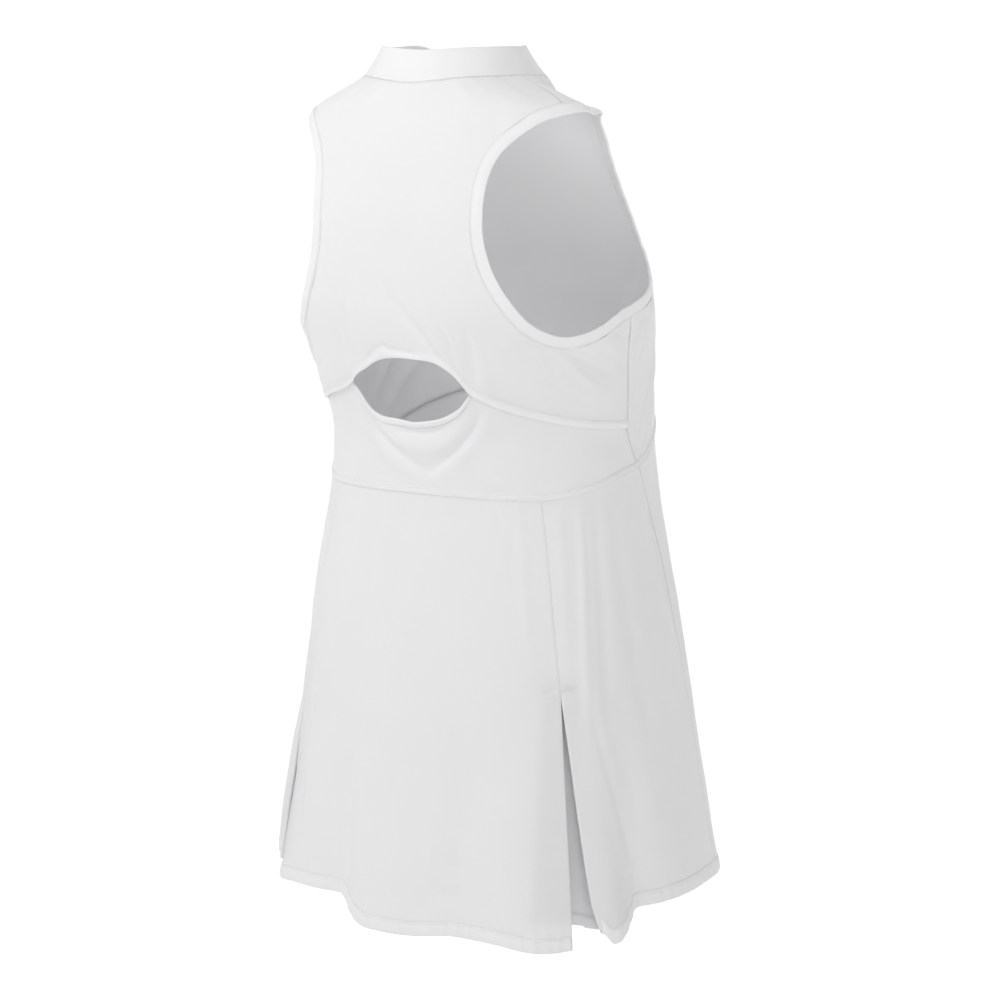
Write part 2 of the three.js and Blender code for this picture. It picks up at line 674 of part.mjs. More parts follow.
// Pleat insert: turned back behind the centre back panel, across under the opening, and turned
// back again behind the side panel. It widens and deepens towards the hem.
const RETURN_DEPTH = -2.3;
const INSERT_RISE = 14; // its hem is higher than the skirt's
const INSERT_HEM = { reach: 32, depth: 15 }; // how far it goes under each fold, and how deep it lies
const INSERT_TOP = { reach: 12, depth: 7 };
const INSERT_PARTS = 9;
const FOLD_ROUND = 3; // how far its own folds bulge
function pleatInsert(name, sign) {
  const insertRows = steps(INSERT_PARTS);
  const section = (part) => {
    const lowest = skirtEdge(sign * pleatBackEdge(FLUTE_END)) + INSERT_RISE;
    const z = lerp(lowest, PLEAT_TOP, part);
    const reach = lerp(INSERT_HEM.reach, INSERT_TOP.reach, part);
    const depth = -lerp(INSERT_HEM.depth, INSERT_TOP.depth, part);
    const back = pleatBackEdge(z);
    const side = pleatSideEdge(z);
    const toDegrees = (length) => degreesFor(length, back, z);
    const turn = (depth + RETURN_DEPTH) / 2;
    const leg = (edge, direction) => [
      [edge - direction * toDegrees(1), RETURN_DEPTH],
      [edge - direction * toDegrees(reach * 0.5), RETURN_DEPTH],
      [edge - direction * toDegrees(reach), RETURN_DEPTH],
      [edge - direction * toDegrees(reach + FOLD_ROUND), turn],
      [edge - direction * toDegrees(reach), depth],
    ];
    const path = [...leg(back, 1), [(back + side) / 2, depth], ...leg(side, -1).reverse()];
    return { z, path };
  };
  const sections = insertRows.map(section);
  const insertPoint = (u, v) => {
    const row = clamp(Math.floor(v * INSERT_PARTS), 0, INSERT_PARTS - 1);
    const column = clamp(Math.floor(u), 0, 9);
    const [low, high] = [sections[row], sections[row + 1]];
    const rise = v * INSERT_PARTS - row;
    const across = u - column;
    const at = (list) => [0, 1].map((k) => lerp(list[column][k], list[column + 1][k], across));
    const [angleLow, depthLow] = at(low.path);
    const [angleHigh, depthHigh] = at(high.path);
    const z = lerp(low.z, high.z, rise);
    const angle = sign * lerp(angleLow, angleHigh, rise);
    const depth = lerp(depthLow, depthHigh, rise);
    return formPoint(angle, z).addScaledVector(formNormal(angle, z), depth);
  };
  const rows = insertRows.map((part) => ({
    first: 0,
    places: Array.from({ length: 11 }, (_, i) => [i, part]),
  }));
  const half = LAYER / 2;
  wall(name, [rows], insertPoint, UNDERLAY_KNIT, () => -half, () => half, [0.05, 0.02]);
}

upperBack();
waistPanel();
frontBodice();
armholeBands();
collar();
skirt();
pleatInsert("pleat_insert_right", 1);
pleatInsert("pleat_insert_left", -1);

export default dress;
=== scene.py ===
# Sleeveless tennis dress in white polyester jersey: the cloth, its stitching and the light, built
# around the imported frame. Lengths are in millimetres until a piece is made, which turns them into
# metres. +Z is up, the front faces -Y and the wearer's right side is -X. A place on the dress is an
# angle in degrees from centre back (0), over the wearer's right side (90), to centre front (180),
# and a height z.
import math

import bmesh
import bpy
import numpy as np
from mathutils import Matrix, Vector


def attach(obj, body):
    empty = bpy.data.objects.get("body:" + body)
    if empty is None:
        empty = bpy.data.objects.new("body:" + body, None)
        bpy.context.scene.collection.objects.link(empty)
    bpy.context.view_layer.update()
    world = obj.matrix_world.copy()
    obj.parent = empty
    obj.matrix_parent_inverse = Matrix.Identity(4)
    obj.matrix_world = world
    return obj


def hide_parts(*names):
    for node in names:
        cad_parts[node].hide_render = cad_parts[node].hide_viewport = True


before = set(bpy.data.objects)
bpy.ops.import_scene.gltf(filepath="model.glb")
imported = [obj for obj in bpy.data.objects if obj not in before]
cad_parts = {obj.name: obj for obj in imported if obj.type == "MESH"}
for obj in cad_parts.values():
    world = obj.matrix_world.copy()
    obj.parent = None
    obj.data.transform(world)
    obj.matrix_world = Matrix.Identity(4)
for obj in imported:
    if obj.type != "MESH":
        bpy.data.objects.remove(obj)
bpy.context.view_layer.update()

METRES = 0.001
MERGE = 0.004  # points nearer than this are one

# Cloth and seams: the frame's sizes, with narrower gaps
LAYER = 1.2
FOLDED = 2.2
SEAM_GAP = 0.06
SIDE_LAP_OVER = 0.12  # the side seams' edges are sewn over each other by twice this
WAIST_GAP = 0.14
ARMHOLE_BAND = 10
CUTOUT_BAND = 5
SKIRT_HEM = 12
YOKE_HEM = 7
COLLAR_RISE = 30
COLLAR_GAP = 0.14
COLLAR_BOW = 2.5
NECK = {"half": 85, "back": 67, "front": -80, "centre": 2}
COLLAR_TOP = {"half": 66, "back": 56, "front": -55, "centre": 2}
SHOULDER_SEAM_ANGLE = 76
FLUTE_END = -720
CUTOUT_BAND_END = 21
PLEAT_TOP = -492
INSERT_RISE = 14
YOKE_LIFT = 0.9
WAIST_PANEL_DROP = -1.1
# Length of a degree round the dress
DEGREE = {"chest": 2.6, "waist": 2.4, "skirt": 3.3, "collar": 1.4}

# Thread
STITCH = 2.9  # length of one stitch
STITCH_PARTS = 4
THREAD = 0.36  # half the thread's thickness
THREAD_SIDES = 5
THREAD_ENTERS = 0.45  # part of the thickness that is left where the thread enters the cloth


def columns(names, rows):
    """A table's rows as named columns."""
    return {name: np.array([row[i] for row in rows], float) for i, name in enumerate(names.split())}


def named_rows(names, *rows):
    """A table's rows, each with its values named."""
    return [dict(zip(names.split(), row)) for row in rows]


# Outline of the filled dress at each height: half its width, where it is widest from front to back,
# its back and its front, and the powers of the curves behind and in front
RINGS = columns(
    "z half wide back front square chest",
    [
        (-760, 225, -64, 117, -242, 2.25, 2.3),
        (-680, 211, -62, 104, -228, 2.25, 2.3),
        (-560, 189, -58, 85, -206, 2.25, 2.45),
        (-450, 172, -54, 70, -192, 2.25, 2.45),
        (-340, 153, -50, 58, -180, 2.2, 2.5),
        (-295, 148, -45, 61, -180, 2.2, 2.55),
        (-225, 156, -33, 79, -172, 2.4, 2.45),
        (-160, 168, -22, 93, -150, 2.65, 2.3),
        (-100, 169, -12, 96, -118, 2.6, 2.25),
        (-45, 163, -7, 90, -88, 2.3, 2.25),
        (-15, 157, -4, 82, -75, 2.15, 2.25),
        (0, 149, -2, 76, -68, 2.1, 2.25),
        (12, 124, 0, 71, -61, 2.1, 2.25),
        (22, 96, 2, 66, -56, 2.1, 2.25),
        (28, 78, 2, 62, -52, 2.1, 2.25),
    ],
)

# Soft flutes of the skirt: each runs down from its start and goes out, or in where its depth is
# below 0, by that depth at FLUTE_END
FLUTES = named_rows(
    "angle spread depth start",
    (-14, 6, -9, -520),
    (-3, 8, 6, -470),
    (19, 9, -3, -470),
    (37, 10, 6, -430),
    (59, 6, 9, -345),
    (70, 5, -9, -480),
    (86, 9, 5, -420),
    (128, 12, -4, -460),
    (156, 11, 8, -420),
    (181, 10, -6, -450),
    (207, 12, 8, -410),
    (238, 11, -6, -460),
    (270, 9, 3, -430),
    (289, 7, -6, -480),
    (303, 8, -6, -500),
    (327, 8, 3, -450),
)

# Edges round the dress: height at each angle
SKIRT_EDGE = columns(
    "angle z",
    [
        (-180, -703), (-150, -700), (-120, -696), (-94, -694), (-72, -697), (-58, -700),
        (-46, -711), (-29, -704), (-15, -703), (-8, -716), (-3, -723), (4, -724),
        (16, -720), (26, -722), (39, -727), (48, -725), (52, -717), (55.5, -711), (58.5, -720),
        (66, -706), (70, -697), (94, -691), (120, -694), (150, -701), (180, -703),
    ],
)
WAIST_SEAM = columns(
    "angle z",
    [
        (0, -336), (44, -337), (66, -331), (84, -322), (95, -316), (106, -304), (120, -289),
        (145, -272), (180, -264),
    ],
)
YOKE_EDGE = columns(
    "angle z",
    [
        (0, -216), (8, -218), (13, -224), (18, -235), (21, -243), (32, -258), (47, -267),
        (68, -276), (92, -281),
    ],
)
WAIST_PANEL_TOP = columns(
    "angle z",
    [
        (0, -276), (8, -272), (13, -266.5), (16.5, -260), (21, -243.5), (23, -239),
        (27, -242), (33, -248), (47, -257), (68, -266), (92, -271),
    ],
)

# Edges down the dress: angle at each height
SIDE_SEAM = columns(
    "z angle",
    [(-740, 108), (-540, 107), (-407, 104), (-360, 101), (-317, 96), (-280, 92), (-150, 91.5)],
)
PLEAT_BACK_EDGE = columns(
    "z angle", [(-740, 47.2), (-503, 47.8), (-460, 47), (-390, 46.1), (-330, 45)]
)
PLEAT_OPENING = columns(
    "z angle",
    [(-740, 9.6), (-718, 8.4), (-688, 6.0), (-632, 4.2), (-563, 2.3), (-516, 0.6), (-500, 0), (-330, 0)],
)

# Opening edge of an armhole, from the shoulder seam down the back, under the arm and up the front
ARMHOLE = columns(
    "angle z",
    [
        (67, -5.5), (50, -15), (33.5, -44), (26.5, -92), (29.5, -139), (42, -180), (58, -195),
        (76, -188), (91, -171), (107, -158), (120, -137), (130.5, -99), (134, -53), (131, -15),
        (108, -2), (85, -3),
    ],
)
ARMHOLE_LOWEST = 6
ARMHOLE_SIDE = 8
SHOULDER_EDGE = 4 / 3  # rows of the armhole's edge that run under the shoulder
ARMHOLE_FINE = 12  # parts in each stretch between two rows
ARMHOLE_MIDDLE = (82, -95)


def lerp(a, b, t):
    return a + (b - a) * t


def smoothstep(value, low, high):
    t = np.clip((value - low) / (high - low), 0, 1)
    return t * t * (3 - 2 * t)


def smooth_curve(table, key, value):
    """A curve through a table's rows that never overshoots them."""
    x, y = table[key], table[value]
    slope = np.diff(y) / np.diff(x)
    before, after = slope[:-1], slope[1:]
    same_way = before * after > 0
    mean = 2 * before * after / np.where(same_way, before + after, 1)
    tangent = np.concatenate([slope[:1], np.where(same_way, mean, 0), slope[-1:]])

    def at(place):
        place = np.asarray(place, float)
        i = np.clip(np.searchsorted(x, place, side="right") - 1, 0, len(x) - 2)
        width = x[i + 1] - x[i]
        t = (place - x[i]) / width
        rise = y[i + 1] - y[i]
        a = width * tangent[i] - rise
        b = rise - width * tangent[i + 1]
        inside = y[i] + t * rise + t * (1 - t) * (a * (1 - t) + b * t)
        low = y[0] + (place - x[0]) * tangent[0]
        high = y[-1] + (place - x[-1]) * tangent[-1]
        return np.where(place < x[0], low, np.where(place > x[-1], high, inside))

    return at


ring = {name: smooth_curve(RINGS, "z", name) for name in RINGS if name != "z"}


def wrap(angle):
    return (np.asarray(angle, float) + 180) % 360 - 180


def both_sides(table):
    curve = smooth_curve(table, "angle", "z")
    return lambda angle: curve(np.abs(wrap(angle)))


skirt_edge_curve = smooth_curve(SKIRT_EDGE, "angle", "z")
waist_seam = both_sides(WAIST_SEAM)
even_yoke_edge = both_sides(YOKE_EDGE)
even_waist_panel_top = both_sides(WAIST_PANEL_TOP)
side_seam = smooth_curve(SIDE_SEAM, "z", "angle")
pleat_back_edge = smooth_curve(PLEAT_BACK_EDGE, "z", "angle")
pleat_opening = smooth_curve(PLEAT_OPENING, "z", "angle")


def sag(angle, middle, width, depth):
    """A soft dip of an edge."""
    return -depth * np.exp(-(((wrap(angle) - middle) / width) ** 2))


# Where the edges at the cut-out sag: middle, width and depth of each place
YOKE_SAGS = ((-11.5, 5.5, 6.0), (22, 4, 2.5))
PANEL_SAGS = ((-15, 6.5, 5.5), (21, 3.5, 3.5))
# How the hem rises on the wearer's left side: height, and the angles where each rise starts and ends
LEFT_RISES = ((6.3, 18, 37), (2.2, 50, 64))
PANEL_RISE = 0.82  # the waist panel's part of that rise


def left_rise(angle):
    return sum(height * smoothstep(-wrap(angle), start, end) for height, start, end in LEFT_RISES)


def yoke_edge(angle):
    uneven = sum(sag(angle, *place) for place in YOKE_SAGS) + left_rise(angle)
    return even_yoke_edge(angle) + uneven


def waist_panel_top(angle):
    uneven = sum(sag(angle, *place) for place in PANEL_SAGS) + PANEL_RISE * left_rise(angle)
    return even_waist_panel_top(angle) + uneven


def skirt_edge(angle):
    return skirt_edge_curve(wrap(angle))


def flute_depth(angle, z):
    depth = 0
    for flute in FLUTES:
        t = np.clip((flute["start"] - z) / (flute["start"] - FLUTE_END), 0, 1.1)
        off = wrap(angle - flute["angle"]) / flute["spread"]
        depth = depth + flute["depth"] * t**1.3 * np.exp(-off * off)
    return depth


def signed_power(value, power):
    return np.sign(value) * np.abs(value) ** power


def outline(behind, z):
    """The widest place, the power and the depth of the outline behind it or in front of it."""
    wide = ring["wide"](z)
    power = np.where(behind, ring["square"](z), ring["chest"](z))
    depth = np.where(behind, ring["back"](z) - wide, wide - ring["front"](z))
    return wide, power, depth


def form_point(angle, z):
    """A point of the form the dress is filled out to."""
    angle, z = np.broadcast_arrays(np.asarray(angle, float), np.asarray(z, float))
    side = np.sin(np.radians(angle))
    along = np.cos(np.radians(angle))
    wide, power, depth = outline(along > 0, z)
    x = -ring["half"](z) * signed_power(side, 2 / power)
    y = depth * signed_power(along, 2 / power)
    length = np.hypot(x, y)
    push = flute_depth(angle, z)
    return np.stack([x + x / length * push, wide + y + y / length * push, z], axis=-1)


def unit(vectors):
    return vectors / np.linalg.norm(vectors, axis=-1, keepdims=True)


def across_degree(angle, z):
    return form_point(angle + 0.5, z) - form_point(angle - 0.5, z)


def form_normal(angle, z):
    up = form_point(angle, z + 1) - form_point(angle, z - 1)
    return unit(np.cross(across_degree(angle, z), up))


def degrees_for(length, angle, z):
    return length / np.linalg.norm(across_degree(angle, z), axis=-1)


NECK_SEARCH = (-70.0, 27.5)  # the neck seam lies between these heights


def drop_on_form(x, y):
    """The place on the upper form that lies over a point of the plan."""
    low = np.full(x.shape, NECK_SEARCH[0])
    high = np.full(x.shape, NECK_SEARCH[1])
    for _ in range(40):
        middle = (low + high) / 2
        wide, power, depth = outline(y > ring["wide"](middle), middle)
        reach = (np.abs(x) / ring["half"](middle)) ** power + (np.abs(y - wide) / depth) ** power
        low = np.where(reach < 1, middle, low)
        high = np.where(reach < 1, high, middle)
    z = (low + high) / 2
    wide, power, depth = outline(y > ring["wide"](z), z)
    along = np.clip(signed_power((y - wide) / depth, power / 2), -1, 1)
    turn = np.degrees(np.arccos(along))
    return np.where(x > 0, -turn, turn), z


def oval_point(oval, angle):
    along = np.cos(np.radians(angle))
    depth = np.where(along > 0, oval["back"] - oval["centre"], oval["centre"] - oval["front"])
    return -oval["half"] * np.sin(np.radians(angle)), oval["centre"] + depth * along


NECK_TURNS = np.linspace(0, 180, 361)
NECK_SEAM = drop_on_form(*oval_point(NECK, NECK_TURNS))


def neck_seam(angle):
    """The neck seam, as a place on the form, at an angle round its oval."""
    turn = np.abs(wrap(angle))
    side = np.where((wrap(angle) < 0) & (turn < 180), -1, 1)
    seam_angle = side * np.interp(turn, NECK_TURNS, NECK_SEAM[0])
    return seam_angle, np.interp(turn, NECK_TURNS, NECK_SEAM[1])


def centripetal(points, parts):
    """Points along a closed centripetal curve, with a number of parts between each two."""
    before, after, beyond = np.roll(points, 1, 0), np.roll(points, -1, 0), np.roll(points, -2, 0)
    step = [
        np.sqrt(np.linalg.norm(b - a, axis=1))[:, None]
        for a, b in ((before, points), (points, after), (after, beyond))
    ]
    start = (points - before) / step[0] - (after - before) / (step[0] + step[1])
    start = (start + (after - points) / step[1]) * step[1]
    end = (after - points) / step[1] - (beyond - points) / (step[1] + step[2])
    end = (end + (beyond - after) / step[2]) * step[1]
    rows = []
    for t in np.arange(parts) / parts:
        rows.append(
            points
            + start * t
            + (-3 * points + 3 * after - 2 * start - end) * t**2
            + (2 * points - 2 * after + start + end) * t**3
        )
    return np.stack(rows, axis=1).reshape(-1, 2)


ARMHOLE_SCALE = np.array([DEGREE["chest"], 1])
ARMHOLE_ROWS = np.stack([ARMHOLE["angle"], ARMHOLE["z"]], axis=1)
ARMHOLE_LINE = centripetal(ARMHOLE_ROWS * ARMHOLE_SCALE, ARMHOLE_FINE) / ARMHOLE_SCALE


def armhole_edge(distance):
    """The armhole's opening edge moved out over the form by a distance."""
    angle, z = ARMHOLE_LINE.T
    at = form_point(angle, z)
    along = np.roll(at, -1, 0) - np.roll(at, 1, 0)
    away = unit(np.cross(form_normal(angle, z), along))
    middle = form_point(*ARMHOLE_MIDDLE)
    away *= np.sign(np.sum(away * (at - middle), axis=1))[:, None]
    per_degree = across_degree(angle, z)
    per_height = form_point(angle, z + 0.5) - form_point(angle, z - 0.5)
    aa = (per_degree * per_degree).sum(1)
    ab = (per_degree * per_height).sum(1)
    bb = (per_height * per_height).sum(1)
    out_a = (per_degree * away).sum(1)
    out_b = (per_height * away).sum(1)
    scale = distance / (aa * bb - ab * ab)
    moved_angle = angle + (out_a * bb - out_b * ab) * scale
    moved_z = z + (out_b * aa - out_a * ab) * scale
    return np.stack([moved_angle, moved_z], axis=1)


def on_edge(edge, row):
    """The place on an armhole's edge at a row of its table, which may lie between two rows."""
    count = len(edge)
    index = np.asarray(row, float) * ARMHOLE_FINE
    low = np.floor(index).astype(int)
    part = (index - low)[..., None]
    place = edge[low % count] * (1 - part) + edge[(low + 1) % count] * part
    return place[..., 0], place[..., 1]


PANEL_EDGE = armhole_edge(ARMHOLE_BAND + SEAM_GAP)
BAND_EDGE = armhole_edge(ARMHOLE_BAND)


def side_gap(z):
    return degrees_for(-SIDE_LAP_OVER, 90, z)


def pleat_gap(z):
    return degrees_for(SEAM_GAP, 90, z)


def pleat_side_edge(z):
    return pleat_back_edge(z) + pleat_opening(z) + 2 * pleat_gap(z)


def folds(*rows):
    """Folds from rows of width, depth, beside and the points (angle, z) of the line they run along."""
    return [
        {"width": width, "depth": depth, "beside": beside, "line": np.array(line, float)}
        for width, depth, beside, *line in rows
    ]


# Folds and creases. Each goes out, or in where its depth is below 0, by that depth
# at its middle. "beside" is the height of the soft roll that a sharp crease pushes up on its right side
# (its left side below 0), as a part of its depth.
YOKE_FOLDS = folds(
    (2.6, -1.5, -0.9, (-10.5, -221), (-7.8, -214), (-4.1, -206.5), (-0.7, -210), (4, -213)),
    (3.2, -2.2, 0.9, (-1.5, -150), (0.3, -168), (2.8, -183), (7.1, -202), (11, -216)),
    (2.8, -2.3, 0.8, (8.5, -172), (11.3, -190), (14.2, -205.5), (16.8, -227)),
    (3.4, -1.9, 0.7, (18, -185), (20.8, -202), (22.6, -222), (23.4, -240)),
    (5, 1.3, 0, (26, -206), (27.5, -226), (28, -246)),
    (4.5, -1.4, 0.8, (-13, -160), (-15, -190), (-17, -226)),
    (4.0, -1.5, 0.7, (-21, -188), (-22, -214), (-22, -240)),
    (7, -3.0, 0.8, (44, -203), (48.5, -210), (54.5, -233), (68, -248)),
    (6, 2.6, 0, (58, -209), (62.4, -222), (77, -244)),
    (4.6, -3.2, 0.6, (57, -204), (63, -209), (71, -216), (83, -229)),
    (5.5, 1.8, 0, (76, -196), (83, -205), (89, -216)),
    (2.4, -2.2, 0.9, (84, -192), (88.8, -199), (91, -198)),
    (7, -2.8, -0.8, (-44, -203), (-50, -214), (-58, -236), (-70, -250)),
    (5.5, -2.8, -0.7, (-58, -206), (-68, -216), (-82, -232)),
    (6, 1.8, 0, (-78, -196), (-85, -208), (-90, -222)),
)
WAIST_FOLDS = folds(
    (4.2, -3.4, -0.9, (-18, -274), (-15, -284), (-10, -297), (-2.7, -310), (3.6, -318)),
    (4.6, -3.0, 0.8, (24.5, -262), (22, -275), (18.5, -286), (12.5, -301), (4.6, -317)),
    (8, 3.2, 0, (-12, -284), (-5, -293), (3.3, -298), (11.5, -292), (18, -279)),
    (3.2, -2.4, 0, (-6, -283), (-1.8, -284.5), (3, -284), (8, -281), (12, -276)),
    (6, -1.1, 0, (2.5, -316), (2.8, -328)),
    (12, 1.0, 0, (88, -318), (70, -300), (60, -290)),
    (2.3, -2.3, 0.9, (24.0, -339), (26.6, -333), (29.8, -330)),
    (3, 1.3, 0, (28, -322), (30, -331)),
    (9, -1.2, 0, (-40, -270), (-38, -300), (-34, -330)),
)
FRONT_FOLDS = folds(
    (3.8, -3.6, 0.8, (94.5, -262), (96, -240), (102.4, -192), (114, -160)),
    (4.2, -3.4, 0.8, (97, -292), (99, -275), (108.1, -243), (118, -210)),
    (6, -2.6, 0.8, (99, -306), (106, -280), (116, -252), (128, -228)),
    (3.0, -2.4, 0.9, (93, -208), (98, -190), (106, -172)),
    (2.6, -2.0, 0.9, (93.5, -196), (97, -187), (102, -181)),
    (3.4, -2.4, 0.7, (126, -92), (129, -104), (138, -118)),
    (2.4, -1.3, 0.8, (90, 24), (94, 16), (97, 5)),
    (2.6, -1.4, 0.8, (97, 25), (104, 17), (108, 6)),
    (3, -1.2, 0.8, (108, 25), (115, 18), (121, 8)),
    (9, 1.9, 0, (138, -128), (143, -150), (152, -172)),
    (10, -1.0, 0.6, (150, -268), (154, -240), (160, -216)),
    (11, -0.8, 0.5, (176, -262), (172, -236), (170, -206)),
    (4.2, -3.2, -0.8, (-94.5, -262), (-97, -238), (-103, -196), (-113, -168)),
    (5, -2.8, -0.8, (-97, -290), (-101, -268), (-110, -240), (-121, -212)),
    (6, -2.2, -0.8, (-99, -304), (-108, -276), (-119, -250), (-130, -232)),
    (3.2, -2.2, -0.9, (-93, -206), (-99, -188), (-107, -174)),
    (3.6, -2.0, -0.7, (-127, -90), (-131, -104), (-140, -116)),
    (2.6, -1.2, -0.8, (-92, 24), (-97, 16), (-101, 5)),
    (2.8, -1.3, -0.8, (-104, 25), (-111, 17), (-118, 7)),
    (9, 1.8, 0, (-138, -130), (-145, -152), (-153, -170)),
    (10, -0.9, -0.6, (-152, -266), (-157, -240), (-161, -214)),
)
SKIRT_FOLDS = folds(
    (12, -2.0, 0, (16.4, -560), (16.4, -615), (19.2, -705)),
    (10, 1.4, 0, (28, -600), (29, -660), (30, -712)),
    (7, -1.8, 0.5, (-14.5, -560), (-14.8, -620), (-10, -700)),
    (2.6, -1.5, 0.6, (-34, -600), (-33.7, -625), (-33, -648), (-34, -672)),
    (3.4, -1.3, 0.6, (-37, -520), (-37.5, -580), (-38, -660)),
    (2.6, -1.2, 0.7, (12, -648), (14, -657), (17.5, -663)),
    (3.2, 1.0, 0, (10, -640), (9, -652), (10, -664)),
    (4, -1.0, 0.6, (8, -676), (12, -684), (18, -686)),
    (8, 1.1, 0, (36.3, -345), (36.9, -425), (38.5, -500)),
    (9, -1.1, 0, (-2, -360), (-3, -420), (-5, -480)),
    (3.6, -0.9, 0.8, (27, -343), (28, -356), (30, -372)),
    (9, 1.3, 0, (52, -342), (51.5, -400), (51, -470), (51.5, -520)),
    (6, 1.8, 0, (61.5, -340), (59.8, -400), (57.5, -460), (56.5, -540)),
    (9, -1.8, 0, (69, -342), (67, -420), (65, -500), (64, -560)),
    (6, -2.2, 0.6, (58, -520), (61, -560), (66, -610), (70, -660), (71, -700)),
    (14, -2.4, 0, (78, -350), (79, -450), (84, -560), (86, -650)),
    (2.2, -2.4, 0.8, (48.6, -501), (50.5, -502.5), (54, -504)),
    (2.2, -2.2, 0.8, (46.8, -501), (45, -503), (41, -505)),
    (4, -1.0, 0.6, (60, -676), (72, -664), (84, -668)),
    (8, 5.0, 0, (-60, -560), (-61, -640), (-61, -712)),
    (9, -7.5, 0, (-45, -590), (-45, -650), (-45, -716)),
    (6, -2.4, 0, (99, -330), (101, -390), (104, -470)),
    (12, 2.0, 0, (112, -320), (112, -420), (114, -560)),
    (14, -1.9, 0, (140, -300), (141, -420), (143, -560)),
    (13, 1.7, 0, (176, -290), (177, -400), (180, -520)),
    (7, 2.0, 0, (-62, -340), (-60, -400), (-58, -470)),
    (7, -2.0, 0.5, (-70, -500), (-72, -580), (-71, -680)),
    (6, -2.2, 0, (-100, -330), (-102, -400), (-104, -480)),
    (13, -1.9, 0, (-150, -300), (-148, -420), (-146, -560)),
    (12, 1.9, 0, (-120, -310), (-121, -430), (-124, -560)),
)
COLLAR_FOLDS = folds(
    (9, -0.9, 0, (-52, 0.2), (-50, 0.9)),
    (12, 0.7, 0, (12, 0.1), (18, 1.0)),
    (6, -1.3, 0, (62, 0.35), (82, 0.55)),
    (8, 0.8, 0, (84, 0.95), (98, 0.4)),
    (7, -1.0, 0, (-88, 0.3), (-80, 0.8)),
)


FOLD_ENDS = {"start": 0.07, "run": 0.86, "power": 0.8}  # how a fold tapers towards its ends
# The roll beside a crease: its part of the depth, its place and reach in widths, and where it ends
ROLL = {"part": 0.55, "away": 1.9, "reach": 1.5, "limit": 5}


def fold_depth(table, angle, z, across, up=1):
    """How far a table's folds move the cloth at a place; across is the length of a degree."""
    total = np.zeros(np.broadcast(angle, z).shape)
    x, y = wrap(angle) * across, z * up
    for fold in table:
        points = fold["line"] * (across, up)
        lengths = np.linalg.norm(np.diff(points, axis=0), axis=1)
        whole = lengths.sum()
        best = np.full(total.shape, 1e9)
        side = np.zeros(total.shape)
        run = np.zeros(total.shape)
        before = 0
        for (ax, ay), (bx, by), length in zip(points[:-1], points[1:], lengths):
            dx, dy = (bx - ax) / length, (by - ay) / length
            t = np.clip((x - ax) * dx + (y - ay) * dy, 0, length)
            gap_x, gap_y = x - ax - dx * t, y - ay - dy * t
            gap = np.hypot(gap_x, gap_y)
            nearer = gap < best
            best = np.where(nearer, gap, best)
            side = np.where(nearer, np.sign(dx * (y - ay) - dy * (x - ax)) * gap, side)
            run = np.where(nearer, (before + t) / whole, run)
            before += length
        part = np.clip(run * FOLD_ENDS["run"] + FOLD_ENDS["start"], 0, 1)
        taper = np.sin(np.pi * part) ** FOLD_ENDS["power"]
        width, beside = fold["width"], fold["beside"]
        shape = np.exp(-((best / width) ** 2))
        off = side * np.sign(beside or 1) - ROLL["away"] * width
        roll = np.exp(-((off / (ROLL["reach"] * width)) ** 2)) * (best < ROLL["limit"] * width)
        total += fold["depth"] * taper * (shape - abs(beside) * ROLL["part"] * roll)
    return total


RUMPLE = named_rows(
    "height round up start",
    (0.22, 9, 0.031, 1.3),
    (0.16, 17, -0.047, 0.4),
    (0.12, 29, 0.083, 0),
    (0.08, 43, -0.12, 2.1),
)


def rumple(angle, z):
    """The slight unevenness of soft cloth."""
    turn = np.radians(wrap(angle))
    return sum(
        wave["height"] * np.sin(wave["round"] * turn + wave["up"] * z + wave["start"])
        for wave in RUMPLE
    )


SHOULDER_DROP = 7.5
SHOULDER_CREST = {"drop": 3.5, "z": 14, "reach": 7}  # the drop is deepest here


def shoulder_slope(angle, z):
    """The cloth falls in front of each shoulder seam, further back on the wearer's left."""
    side = np.abs(wrap(angle))
    right = smoothstep(side, 76, 91)
    left = 0.7 * smoothstep(side, 42, 66) + 0.3 * smoothstep(side, 82, 100)
    round_shoulder = np.where(wrap(angle) > 0, right, left) * (1 - smoothstep(side, 122, 152))
    up_shoulder = smoothstep(26 - z, 0, 8) * (1 - smoothstep(-z, -4, 34))
    crest = np.exp(-(((z - SHOULDER_CREST["z"]) / SHOULDER_CREST["reach"]) ** 2))
    drop = SHOULDER_DROP + SHOULDER_CREST["drop"] * crest
    return -drop * round_shoulder * up_shoulder


# How far each panel's middle lies off the form
def yoke_depth(angle, z):
    over_hem = z - yoke_edge(angle)
    lift = YOKE_LIFT * (1 - smoothstep(over_hem, 22, 60))
    folded = fold_depth(YOKE_FOLDS, angle, z, DEGREE["chest"])
    return lift + folded + rumple(angle, z) + shoulder_slope(angle, z)


def waist_depth(angle, z):
    over_seam = z - waist_seam(angle)
    drop = WAIST_PANEL_DROP * smoothstep(over_seam, 15, 50)
    calm = smoothstep(over_seam, 2, 12)
    folded = fold_depth(WAIST_FOLDS, angle, z, DEGREE["waist"]) * calm
    return drop + folded + rumple(angle, z) * 0.6


def front_depth(angle, z):
    calm = smoothstep(z - waist_seam(angle), 2, 12)
    folded = fold_depth(FRONT_FOLDS, angle, z, DEGREE["chest"]) * calm
    return folded + rumple(angle, z) + shoulder_slope(angle, z)


def skirt_depth(angle, z):
    calm = smoothstep(waist_seam(angle) - z, 2, 12)
    near_hem = 1 - smoothstep(z - skirt_edge(angle), 5, 30)
    hem_ripple = 0.35 * np.sin(wrap(angle) * 1.9 + 0.5) * near_hem
    folded = fold_depth(SKIRT_FOLDS, angle, z, DEGREE["skirt"]) * calm
    return folded + rumple(angle, z) * 0.8 + hem_ripple


